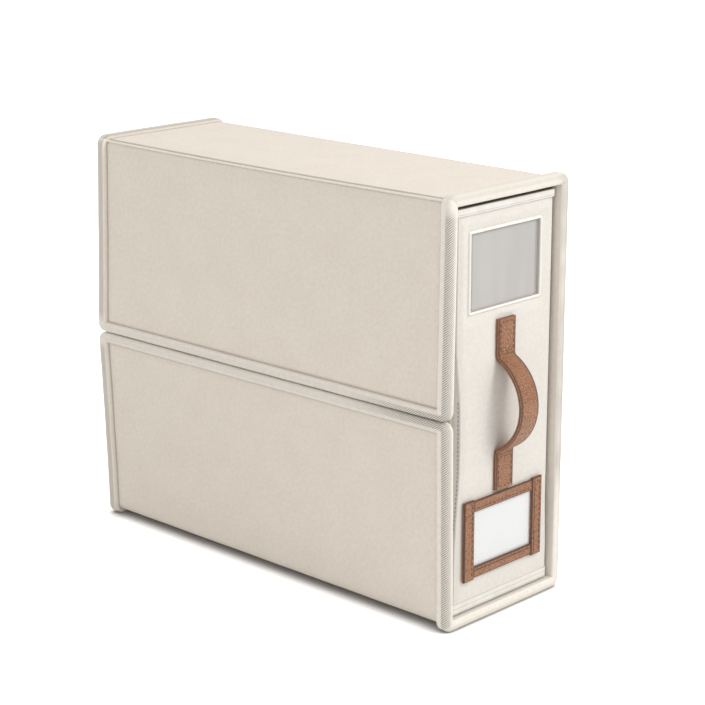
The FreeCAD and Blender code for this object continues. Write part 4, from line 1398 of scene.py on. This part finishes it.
def stitch_mesh(name, stitches):
    """Short rounded threads, each from a start to an end point, standing out towards the front."""
    points = []
    faces = []
    uvs = []
    turns = np.radians(np.linspace(0, 360, STITCH_SIDES, endpoint=False))
    for start, end in stitches:
        start = Vector(start)
        end = Vector(end)
        axis = (end - start).normalized()
        side = axis.cross(Vector((0, -1, 0)))
        base = len(points)
        for ring in range(STITCH_RINGS + 1):
            share = ring / STITCH_RINGS
            thick = STITCH_THICK * math.sqrt(max(1 - (2 * share - 1) ** 4, 0.02))
            centre = start.lerp(end, share) + Vector((0, -STITCH_BOW * math.sin(math.pi * share), 0))
            for turn in turns:
                out = Vector((0, -thick * math.sin(turn), 0))
                points.append(centre + side * thick * math.cos(turn) + out)
        for ring in range(STITCH_RINGS):
            here = base + ring * STITCH_SIDES
            after = here + STITCH_SIDES
            for corner in range(STITCH_SIDES):
                beside = (corner + 1) % STITCH_SIDES
                faces.append((here + corner, here + beside, after + beside, after + corner))
                uvs += [(ring * MM, corner * MM)] * 4
        for ring in (0, STITCH_RINGS):
            faces.append(tuple(base + ring * STITCH_SIDES + corner for corner in range(STITCH_SIDES)))
            uvs += [(0.0, 0.0)] * STITCH_SIDES
    return new_piece(name, points, faces, uvs)


def stitch_line(start, end, face, pitch=4.2 * MM, long=3.6 * MM):
    """Stitches along a line from start to end, both across and up, on a face at a depth."""
    run = math.dist(start, end)
    count = max(int(run / pitch), 1)
    direction = ((end[0] - start[0]) / run, (end[1] - start[1]) / run)
    stitches = []
    for index in range(count):
        middle = run * (index + 0.5) / count
        ends = []
        for place in (middle - long / 2, middle + long / 2):
            ends.append((start[0] + direction[0] * place, face, start[1] + direction[1] * place))
        stitches.append(tuple(ends))
    return stitches


class ORGANIZER_OT_handle(bpy.types.Operator):
    """Two-layer leather strap, bowed out from the drawer's front and sewn on at both ends"""
    bl_idname = "organizer.handle"
    bl_label = "Handle"

    def execute(self, context):
        leather = leather_finish("strap_leather", finish().leather)
        backing = leather_finish("strap_backing", finish().backing)
        thread = thread_finish()
        outer = strap_layer("handle_outer_strap", BACKING, STRAP, 0.15 * MM)
        finish_piece(outer, "drawer", "strap_leather", leather, "handle_leather")
        inner = strap_layer("handle_back_strap", 0.0, BACKING, 0.0)
        finish_piece(inner, "drawer", "strap_backing", backing, "handle_backing")
        for end in ("lower", "upper"):
            low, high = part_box("handle_%s_stitches" % end)
            face = DRAWER_FRONT - STRAP + OVER_LEATHER
            left = low.x + STITCH_IN
            right = high.x - STITCH_IN
            rows = []
            for x in (left, right):
                rows += stitch_line((x, low.z), (x, high.z), face)
            for z in (low.z + STITCH_IN, high.z - STITCH_IN):
                rows += stitch_line((left, z), (right, z), face)
            finish_piece(stitch_mesh("handle_%s_thread" % end, rows), "drawer", "leather_thread", thread,
                         "handle_%s_stitches" % end)
        return {"FINISHED"}


def leather_strip(name, node):
    """A strip of the label frame with rounded, slightly uneven borders."""
    low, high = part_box(node)
    us = grid_lines(low.x, high.x, 3 * MM, BORDER[:5])
    vs = grid_lines(low.z, high.z, 3 * MM, BORDER[:5])
    thick = high.y - low.y

    def to_edge(u, v):
        return to_border(u, v, low.x, high.x, low.z, high.z)

    def outer(u, v):
        rounding = STRAP_EDGE * (soft_edge(to_edge(u, v), 0.7 * MM) - 1)
        return thick + rounding + 0.05 * MM * unevenness(u, v, 9 * MM, 3.0)

    def worn(u, v):
        return EDGE_DARK[0] * (1 - smooth_step(to_edge(u, v), 0.5 * MM, 1.2 * MM))

    return padded_sheet(name, us, vs, outer, level_at(STRIP_BACK), place_on(1, lambda w: high.y - w),
                        marks={"worn": worn})


class ORGANIZER_OT_label(bpy.types.Operator):
    """Label frame of four leather strips, with a clear sheet and a bare card"""
    bl_idname = "organizer.label"
    bl_label = "Label holder"

    def execute(self, context):
        leather = leather_finish("frame_leather", finish().leather)
        for side in ("top", "bottom", "left", "right"):
            finish_piece(leather_strip("label_%s_leather" % side, "label_%s_strip" % side), "drawer",
                         "frame_leather", leather, "label_%s_strip" % side)
        repaint("label_card", card_finish())
        repaint("label_sheet", clear_sheet_finish())
        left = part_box("label_left_strip")
        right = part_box("label_right_strip")
        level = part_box("label_top_strip")
        opening = (left[1].x, right[0].x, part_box("label_bottom_strip")[1].z, level[0].z)
        inset = LABEL_STITCH_IN
        upright = left[0].y + OVER_LEATHER
        across = level[0].y + OVER_LEATHER
        rows = []
        for x in (opening[0] - inset, opening[1] + inset, right[1].x - inset):
            rows += stitch_line((x, left[0].z + inset), (x, left[1].z - inset), upright)
        for z in (opening[2] - inset, opening[3] + inset):
            rows += stitch_line((opening[0] + inset, z), (opening[1] - inset, z), across)
        finish_piece(stitch_mesh("label_thread", rows), "drawer", "leather_thread", thread_finish(),
                     "label_stitches")
        return {"FINISHED"}


# Finishes


class Term:
    """A value in a shader. Adding, multiplying and comparing terms adds the Math nodes that do it."""

    def __init__(self, paint, socket):
        self.paint = paint
        self.socket = socket

    def math(self, operation, *values):
        sockets = dict(enumerate((self,) + values))
        return self.paint.node("ShaderNodeMath", {"operation": operation}, sockets)

    def __add__(self, other):
        return self.math("ADD", other)

    def __sub__(self, other):
        return self.math("SUBTRACT", other)

    def __mul__(self, other):
        return self.math("MULTIPLY", other)

    def __rsub__(self, other):
        return (self * -1.0) + other

    __radd__ = __add__
    __rmul__ = __mul__

    def __lt__(self, other):
        return self.math("LESS_THAN", other)

    def sine(self):
        return self.math("SINE")

    def size(self):
        return self.math("ABSOLUTE")

    def power(self, exponent):
        return self.math("POWER", exponent)

    def limit(self):
        """Held between 0 and 1."""
        return self.paint.node("ShaderNodeClamp", {}, {"Value": self}, "Result")

    def between(self, low, high):
        """From 0 at a low value to 1 at a high one, smoothly."""
        settings = {"interpolation_type": "SMOOTHSTEP", "clamp": True}
        values = {"Value": self, "From Min": low, "From Max": high}
        return self.paint.node("ShaderNodeMapRange", settings, values, "Result")


class Nodes:
    """A node tree under construction. Every node goes through one method."""

    def __init__(self, tree):
        self.tree = tree
        tree.nodes.clear()

    def node(self, kind, settings, values, result=0):
        """Adds a node: its settings first, then the values or links of its sockets."""
        item = self.tree.nodes.new(kind)
        for name, value in settings.items():
            setattr(item, name, value)
        for name, value in values.items():
            self.feed(item.inputs[name], value)
        return Term(self, item.outputs[result]) if len(item.outputs) else None

    def feed(self, socket, value):
        if isinstance(value, Term):
            self.tree.links.new(value.socket, socket)
        elif socket.type == "RGBA" and len(value) == 3:
            socket.default_value = (*value, 1.0)
        else:
            socket.default_value = value

    def mix(self, factor, first, second):
        """One colour fading into another."""
        values = {"Factor": factor, 6: first, 7: second}
        return self.node("ShaderNodeMix", {"data_type": "RGBA"}, values, 2)

    def seen(self):
        """1 for a ray that shows the surface, straight, mirrored or through film, and 0 for other light."""
        rays = [self.node("ShaderNodeLightPath", {}, {}, "Is %s Ray" % kind)
                for kind in ("Camera", "Glossy", "Transmission")]
        return rays[0].math("MAXIMUM", rays[1]).math("MAXIMUM", rays[2])


class Paint(Nodes):
    """A material under construction, with one Principled shader."""

    def __init__(self, name):
        self.material = bpy.data.materials.new(name)
        self.material.use_nodes = True
        super().__init__(self.material.node_tree)
        shader = self.node("ShaderNodeBsdfPrincipled", {}, {})
        self.shader = shader.socket.node
        self.node("ShaderNodeOutputMaterial", {}, {"Surface": shader})

    def set(self, **values):
        """Sets or links sockets of the Principled shader. An underscore stands for a space."""
        for name, value in values.items():
            self.feed(self.shader.inputs[name.replace("_", " ")], value)

    def cloth(self):
        """The place on the cloth, in metres, as a vector and as two terms."""
        place = self.node("ShaderNodeUVMap", {"uv_map": "cloth"}, {}, "UV")
        return (place,) + self.parts(place)[:2]

    def parts(self, vector):
        """The three parts of a vector."""
        return tuple(self.node("ShaderNodeSeparateXYZ", {}, {0: vector}, index) for index in range(3))

    def mark(self, name):
        """The values that a mesh carries at its points."""
        return self.node("ShaderNodeAttribute", {"attribute_name": name}, {}, "Fac")

    def stretched(self, vector, x, y, z=1.0):
        """A vector with each part multiplied."""
        values = {0: vector, 1: (x, y, z)}
        return self.node("ShaderNodeVectorMath", {"operation": "MULTIPLY"}, values, "Vector")

    def solid_place(self):
        """The place in the piece's own space, in metres."""
        return self.node("ShaderNodeTexCoord", {}, {}, "Object")

    def noise(self, vector, scale, detail=2.0, rough=0.5):
        values = {"Vector": vector, "Scale": scale, "Detail": detail, "Roughness": rough}
        return self.node("ShaderNodeTexNoise", {}, values, "Fac")

    def grains(self, vector, scale):
        """Rounded cells: 0 at their borders, and higher towards their middles."""
        values = {"Vector": vector, "Scale": scale}
        return self.node("ShaderNodeTexVoronoi", {"feature": "DISTANCE_TO_EDGE"}, values, "Distance")

    def bump(self, height, distance, strength):
        values = {"Height": height, "Distance": distance, "Strength": strength}
        return self.node("ShaderNodeBump", {}, values, "Normal")


def scaled(colour, *factors):
    """A colour with its parts multiplied, and held below 1."""
    if len(factors) == 1:
        factors = factors * 3
    return tuple(min(part * factor, 1.0) for part, factor in zip(colour, factors))


FINISHES = {}


def made_once(make):
    """Keeps each finished material, so pieces with the same finish share it."""
    def get(*arguments):
        key = (make.__name__,) + tuple(str(argument) for argument in arguments[:1])
        if key not in FINISHES:
            FINISHES[key] = make(*arguments)
        return FINISHES[key]
    return get


@made_once
def linen_finish(name, colour):
    """Heathered linen: a plain weave with slubs, over a soft cloudy tone. Marked places are darkened as
    painted shade.
    """
    paint = Paint(name)
    place, across, up = paint.cloth()
    pitch = 0.62 * MM
    turn = 2 * math.pi / pitch
    weave = (across * turn).sine() * (up * turn).sine()
    long_slub = paint.noise(paint.stretched(place, 260.0, 2600.0), 1.0, 2.0)
    wide_slub = paint.noise(paint.stretched(place, 2600.0, 260.0), 1.0, 2.0)
    slub = (long_slub + wide_slub) * 0.5
    cloud = paint.noise(place, 34.0, 3.0, 0.55)
    mottle = paint.noise(place, 330.0, 3.0, 0.6)
    twill = ((across + up) * (math.pi / pitch)).sine() * 0.5 + 0.5
    tone = (cloud * 0.2 + mottle * 0.45 + slub * 0.25 + twill * 0.1).between(0.3, 0.7)
    cloth = paint.mix(tone, scaled(colour, 0.91, 0.90, 0.88), scaled(colour, 1.03))
    paint.set(
        # Painted shade where marked: along creases, where the fabric dives under bindings, in the seam and
        # at the window's edge
        Base_Color=paint.mix(paint.mark("shaded"), cloth, scaled(colour, 0.36, 0.34, 0.33)),
        Roughness=0.92,
        Specular_IOR_Level=0.22,
        Sheen_Weight=0.12,
        Sheen_Roughness=0.5,
        Normal=paint.bump(weave * 0.5 + slub * 1.4 + mottle * 1.2, 0.16 * MM, 0.7),
    )
    return paint.material


@made_once
def tape_finish():
    """Twill tape: slanting ribs where the binding is marked ribbed, smooth elsewhere. The ribs are bumps,
    with painted shade in the grooves between them, and marked places are painted greyer or darker as shade.
    """
    paint = Paint("binding_tape")
    colour = finish().tape
    place, along, across = paint.cloth()
    ribbed = paint.mark("ribbed")
    shaded = paint.mark("shaded")
    phase = (across * (1 / (1.7 * MM)) + along * (1 / (2.3 * MM))) * (2 * math.pi)
    drift = paint.noise(place, 300.0, 1.0)
    ribs = (phase + drift * 1.6).sine() * 0.5 + 0.5
    # Painted shade: the grooves between the ribs are coloured darker
    groove = (1 - ribs).power(2.1) * ribbed
    tint = paint.noise(place, 240.0, 3.0).between(0.3, 0.7)
    plain = paint.mix(tint, scaled(colour, 0.95, 0.94, 0.93), colour)
    # Painted shade: greyer where marked grey, darker where marked as shade
    plain = paint.mix(paint.mark("greyed"), plain, finish().shade_grey)
    plain = paint.mix(shaded, plain, scaled(colour, 0.34, 0.32, 0.30))
    paint.set(
        Base_Color=paint.mix(groove.limit(), plain, scaled(colour, 0.30, 0.28, 0.25)),
        Roughness=0.8,
        Specular_IOR_Level=0.3,
        Sheen_Weight=0.1,
        Normal=paint.bump(ribs * ribbed + tint * 0.12, 0.32 * MM, 1.0),
    )
    return paint.material


@made_once
def lining_finish(name):
    """Smooth non-woven cloth with a faint pressed grain."""
    paint = Paint(name)
    colour = finish().lining
    place = paint.cloth()[0]
    grain = paint.noise(place, 900.0, 3.0, 0.6)
    cloud = paint.noise(place, 30.0, 2.0)
    tone = (grain * 0.75 + cloud * 0.25).between(0.3, 0.7)
    paint.set(
        Base_Color=paint.mix(tone, scaled(colour, 0.93), scaled(colour, 1.03)),
        Roughness=0.88,
        Specular_IOR_Level=0.2,
        Normal=paint.bump(grain, 0.12 * MM, 0.6),
    )
    return paint.material


@made_once
def hem_finish():
    """Cotton band, a close plain weave, darkened almost to black where its mesh is marked, as painted
    shade.
    """
    paint = Paint("drawer_hem_cloth")
    colour = finish().hem
    place, along, across = paint.cloth()
    turn = 2 * math.pi / (0.8 * MM)
    weave = (along * turn).sine() * (across * turn).sine()
    tint = paint.noise(place, 120.0, 2.0)
    plain = paint.mix(tint.between(0.3, 0.7), scaled(colour, 0.94, 0.93, 0.92), colour)
    paint.set(
        Base_Color=paint.mix(paint.mark("shaded"), plain, scaled(colour, 0.16, 0.15, 0.14)),
        Roughness=0.85,
        Specular_IOR_Level=0.25,
        Normal=paint.bump(weave * 0.5 + tint, 0.12 * MM, 0.7),
    )
    return paint.material


@made_once
def piping_finish():
    """Smooth satin piping."""
    paint = Paint("window_piping")
    colour = finish().piping
    along = paint.cloth()[1]
    thread = (along * (2 * math.pi / (1.1 * MM))).sine() * 0.5 + 0.5
    paint.set(
        Base_Color=paint.mix(thread, scaled(colour, 0.95), colour),
        Roughness=0.6,
        Specular_IOR_Level=0.35,
        Normal=paint.bump(thread, 0.06 * MM, 0.6),
    )
    return paint.material


@made_once
def board_finish():
    """Grey-brown pressed board with fibres."""
    paint = Paint("stiff_board")
    colour = finish().board
    place = paint.solid_place()
    fibre = paint.noise(paint.stretched(place, 900.0, 90.0, 900.0), 1.0, 3.0)
    fleck = paint.noise(place, 700.0, 2.0)
    paint.set(
        Base_Color=paint.mix((fibre * 0.6 + fleck * 0.4).between(0.3, 0.7), scaled(colour, 0.82), colour),
        Roughness=0.9,
        Normal=paint.bump(fibre, 0.1 * MM, 0.7),
    )
    return paint.material


@made_once
def magnet_finish():
    """Nickel-plated magnet bars."""
    paint = Paint("bar_magnet")
    scratch = paint.noise(paint.stretched(paint.solid_place(), 200.0, 3000.0, 200.0), 1.0, 2.0)
    paint.set(
        Base_Color=paint.mix(scratch, shade(150, 150, 152), shade(196, 196, 198)),
        Metallic=1.0,
        Roughness=scratch * 0.2 + 0.25,
    )
    return paint.material


FRAME_LINE = 2.6 * MM


@made_once
def leather_finish(name, colour):
    """Pebbled leather: rounded grains with darker creases and a soft gloss. Marked places are dark edge
    paint, pale cut sides, and painted shade at the strap's creases.
    """
    paint = Paint(name)
    place = paint.solid_place()
    warp = paint.noise(place, 500.0, 2.0)
    bent = paint.node("ShaderNodeVectorMath", {"operation": "MULTIPLY_ADD"},
                      {0: paint.node("ShaderNodeTexNoise", {}, {"Vector": place, "Scale": 420.0}, "Color"),
                       1: (0.0008, 0.0008, 0.0008), 2: place}, "Vector")
    pebble = paint.grains(bent, 560.0).between(0.0, 0.2)
    fine = paint.noise(place, 2600.0, 3.0)
    patch = paint.noise(place, 90.0, 3.0)
    tone = (pebble * 0.55 + patch * 0.3 + fine * 0.2).between(0.2, 0.95)
    hide = paint.mix(tone, scaled(colour, 0.55, 0.51, 0.48), scaled(colour, 1.16, 1.13, 1.11))
    worn = paint.mark("worn") + extra_lines(paint) if name == "frame_leather" else paint.mark("worn")
    # Dark edge paint, pale cut sides, and painted shade at the strap's creases
    hide = paint.mix((worn * -1.0).limit(), hide, scaled(colour, 1.35, 1.5, 1.6))
    paint.set(
        Base_Color=paint.mix(worn.limit(), hide, scaled(colour, 0.2, 0.17, 0.15)),
        Roughness=0.6 - pebble * 0.18 + warp * 0.06,
        Specular_IOR_Level=0.5,
        Normal=paint.bump(pebble * 0.8 + fine * 0.25, 0.24 * MM, 0.9),
    )
    return paint.material


def extra_lines(paint):
    """The folded edges on the label frame's right and lower strips, 1 where their line runs."""
    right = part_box("label_right_strip")[0].x
    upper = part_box("label_bottom_strip")[1].z
    across, _, up = paint.parts(paint.solid_place())
    upright = 1 - (across - (right + FRAME_LINE)).size().between(0.3 * MM, 0.6 * MM)
    level = 1 - (up - (upper - FRAME_LINE)).size().between(0.3 * MM, 0.6 * MM)
    return upright * 0.8 + level * (across.size() < right) * 0.8


@made_once
def thread_finish():
    """Waxed brown thread."""
    paint = Paint("leather_thread")
    colour = finish().thread
    twist = paint.noise(paint.solid_place(), 1900.0, 2.0)
    paint.set(
        Base_Color=paint.mix(twist, scaled(colour, 0.7), scaled(colour, 1.35)),
        Roughness=0.6,
        Normal=paint.bump(twist, 0.1 * MM, 0.7),
    )
    return paint.material


@made_once
def seam_thread_finish():
    """Grey cotton thread."""
    paint = Paint("seam_thread")
    colour = finish().seam
    twist = paint.noise(paint.solid_place(), 1900.0, 2.0)
    paint.set(Base_Color=paint.mix(twist, scaled(colour, 0.7), colour), Roughness=0.8)
    return paint.material


@made_once
def film_finish():
    """Hazy film: mostly pale, a little clear, with a soft gloss. It is clearer beside its upright
    edges."""
    paint = Paint("window_film")
    place = paint.solid_place()
    across = paint.parts(place)[0]
    half = window_hole()[1]
    inside = (half - across.size()).between(2.0 * MM, 4.0 * MM)
    haze = paint.noise(paint.stretched(place, 60.0, 60.0, 9.0), 1.0, 2.0).between(0.3, 0.7)
    colour = finish().film
    paint.set(
        Base_Color=paint.mix(haze, scaled(colour, 0.93), colour),
        Roughness=0.32,
        Specular_IOR_Level=0.4,
        Alpha=inside * 0.24 + 0.52,
    )
    return paint.material


@made_once
def card_finish():
    """White card with a faint paper grain, darker beside the frame round it as painted shade."""
    paint = Paint("card_stock")
    place = paint.solid_place()
    grain = paint.noise(place, 1400.0, 3.0)
    across, _, up = paint.parts(place)
    low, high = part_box("label_bottom_strip")[1].z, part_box("label_top_strip")[0].z
    side = (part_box("label_right_strip")[0].x - across.size()).between(-0.5 * MM, 2.5 * MM)
    ends = (0.5 * (high - low) - (up - 0.5 * (high + low)).size()).between(-0.5 * MM, 2.5 * MM)
    colour = finish().card
    # Painted shade beside the frame's strips
    shade_grey = paint.mix(side * ends, scaled(colour, 0.62), colour)
    paint.set(
        Base_Color=paint.mix(grain * 0.3, shade_grey, scaled(colour, 0.9)),
        Roughness=0.8,
        Specular_IOR_Level=0.2,
        Normal=paint.bump(grain, 0.03 * MM, 0.5),
    )
    return paint.material


@made_once
def clear_sheet_finish():
    """Thin clear sheet over the card."""
    paint = Paint("clear_sheet")
    scuff = paint.noise(paint.solid_place(), 160.0, 2.0)
    paint.set(
        Base_Color=shade(240, 241, 242),
        Roughness=scuff * 0.08 + 0.1,
        Specular_IOR_Level=0.4,
        Alpha=0.14,
    )
    return paint.material


# Stage: camera, lamps, floor and even light. The camera was fitted to corners of the box in the photo.

CAMERA_PLACE = (-1.0748, -1.0562, 0.5815)
CAMERA_LOOK = (0.69749, 0.66421, -0.26895)
CAMERA_UP = (0.19577, 0.18442, 0.96315)
LAMPS = (
    ("key", (0.6, -1.7, 1.75), 0.9),
    ("fill", (-2.0, -0.6, 0.9), 1.2),
)
LAMP_AIM = (0.0, 0.0, 0.15)
FLOOR_RADIUS = 6
FLOOR_SEEN = 1.8
FLOOR_LIGHT = 0.85
CONTACT_REACH = 16 * MM
CONTACT_RANGE = (0.3, 0.95)
CONTACT_SHADE = (0.45, 0.44, 0.44)


def aimed(place, look, up):
    """The matrix of a camera or lamp at a place, looking along a direction."""
    back = -Vector(look).normalized()
    side = Vector(up).cross(back).normalized()
    rise = back.cross(side)
    turn = Matrix((side, rise, back)).transposed().to_4x4()
    return Matrix.Translation(Vector(place)) @ turn


class ORGANIZER_OT_stage(bpy.types.Operator):
    """Camera, soft lamps and a white floor"""
    bl_idname = "organizer.stage"
    bl_label = "Stage"

    def execute(self, context):
        scene = context.scene
        light = scene.organizer_light
        camera = bpy.data.objects.new("camera", bpy.data.cameras.new("camera"))
        camera.data.sensor_width = 36
        camera.data.lens = light.lens
        camera.data.clip_start = 0.01
        camera.matrix_world = aimed(CAMERA_PLACE, CAMERA_LOOK, CAMERA_UP)
        scene.collection.objects.link(camera)
        scene.camera = camera
        scene.view_settings.view_transform = "Standard"
        for name, place, size in LAMPS:
            lamp = bpy.data.lights.new(name, "AREA")
            lamp.shape = "DISK"
            lamp.size = size
            lamp.energy = getattr(light, name)
            item = bpy.data.objects.new(name, lamp)
            item.matrix_world = aimed(place, Vector(LAMP_AIM) - Vector(place), (0, 0, 1))
            scene.collection.objects.link(item)
        world = bpy.data.worlds.new("studio")
        scene.world = world
        world.use_nodes = True
        nodes = Nodes(world.node_tree)
        colour = nodes.mix(nodes.seen(), (light.world,) * 3, (1.0,) * 3)
        background = nodes.node("ShaderNodeBackground", {}, {"Color": colour})
        nodes.node("ShaderNodeOutputWorld", {}, {"Surface": background})
        self.make_floor(scene)
        return {"FINISHED"}

    def make_floor(self, scene):
        """A wide round floor, shown white, with a tight contact shadow beside the part painted into its
        colour from an Ambient Occlusion node.
        """
        mesh = bpy.data.meshes.new("floor")
        work = bmesh.new()
        bmesh.ops.create_circle(work, cap_ends=True, segments=96, radius=FLOOR_RADIUS)
        work.to_mesh(mesh)
        work.free()
        floor = bpy.data.objects.new("floor", mesh)
        scene.collection.objects.link(floor)
        material = bpy.data.materials.new("floor")
        material.use_nodes = True
        nodes = Nodes(material.node_tree)
        reach = {"Distance": CONTACT_REACH}
        contact = nodes.node("ShaderNodeAmbientOcclusion", {"samples": 8}, reach, "AO")
        # Painted contact shadow: the floor's colour darkens where the Ambient Occlusion node finds the part
        # close
        shown = nodes.mix(contact.between(*CONTACT_RANGE), CONTACT_SHADE, (FLOOR_SEEN,) * 3)
        colour = nodes.mix(nodes.seen(), (FLOOR_LIGHT,) * 3, shown)
        diffuse = nodes.node("ShaderNodeBsdfDiffuse", {}, {"Color": colour})
        nodes.node("ShaderNodeOutputMaterial", {}, {"Surface": diffuse})
        mesh.materials.append(material)


class ORGANIZER_PT_panel(bpy.types.Panel):
    """Lists the steps that dress the organizer"""
    bl_idname = "ORGANIZER_PT_panel"
    bl_label = "Bed sheet organizer"
    bl_space_type = "VIEW_3D"
    bl_region_type = "UI"
    bl_category = "Organizer"

    def draw(self, context):
        layout = self.layout
        for group in (context.scene.organizer_shape, context.scene.organizer_finish,
                      context.scene.organizer_light):
            box = layout.box()
            for name in type(group).__annotations__:
                box.prop(group, name)
        for operator in OPERATORS:
            layout.operator(operator.bl_idname)


GROUPS = (OrganizerShape, OrganizerFinish, OrganizerLight)
OPERATORS = (
    ORGANIZER_OT_stage,
    ORGANIZER_OT_bound_edges,
    ORGANIZER_OT_outer_fabric,
    ORGANIZER_OT_folds,
    ORGANIZER_OT_inner_cloth,
    ORGANIZER_OT_boards,
    ORGANIZER_OT_drawer_fabric,
    ORGANIZER_OT_drawer_hems,
    ORGANIZER_OT_window,
    ORGANIZER_OT_handle,
    ORGANIZER_OT_label,
)


def register():
    for item in GROUPS + OPERATORS + (ORGANIZER_PT_panel,):
        bpy.utils.register_class(item)
    bpy.types.Scene.organizer_shape = PointerProperty(type=OrganizerShape)
    bpy.types.Scene.organizer_finish = PointerProperty(type=OrganizerFinish)
    bpy.types.Scene.organizer_light = PointerProperty(type=OrganizerLight)


def unregister():
    del bpy.types.Scene.organizer_light
    del bpy.types.Scene.organizer_finish
    del bpy.types.Scene.organizer_shape
    for item in reversed(GROUPS + OPERATORS + (ORGANIZER_PT_panel,)):
        bpy.utils.unregister_class(item)


def main():
    register()
    for operator in OPERATORS:
        family, name = operator.bl_idname.split(".")
        getattr(getattr(bpy.ops, family), name)()


if __name__ == "__main__":
    main()
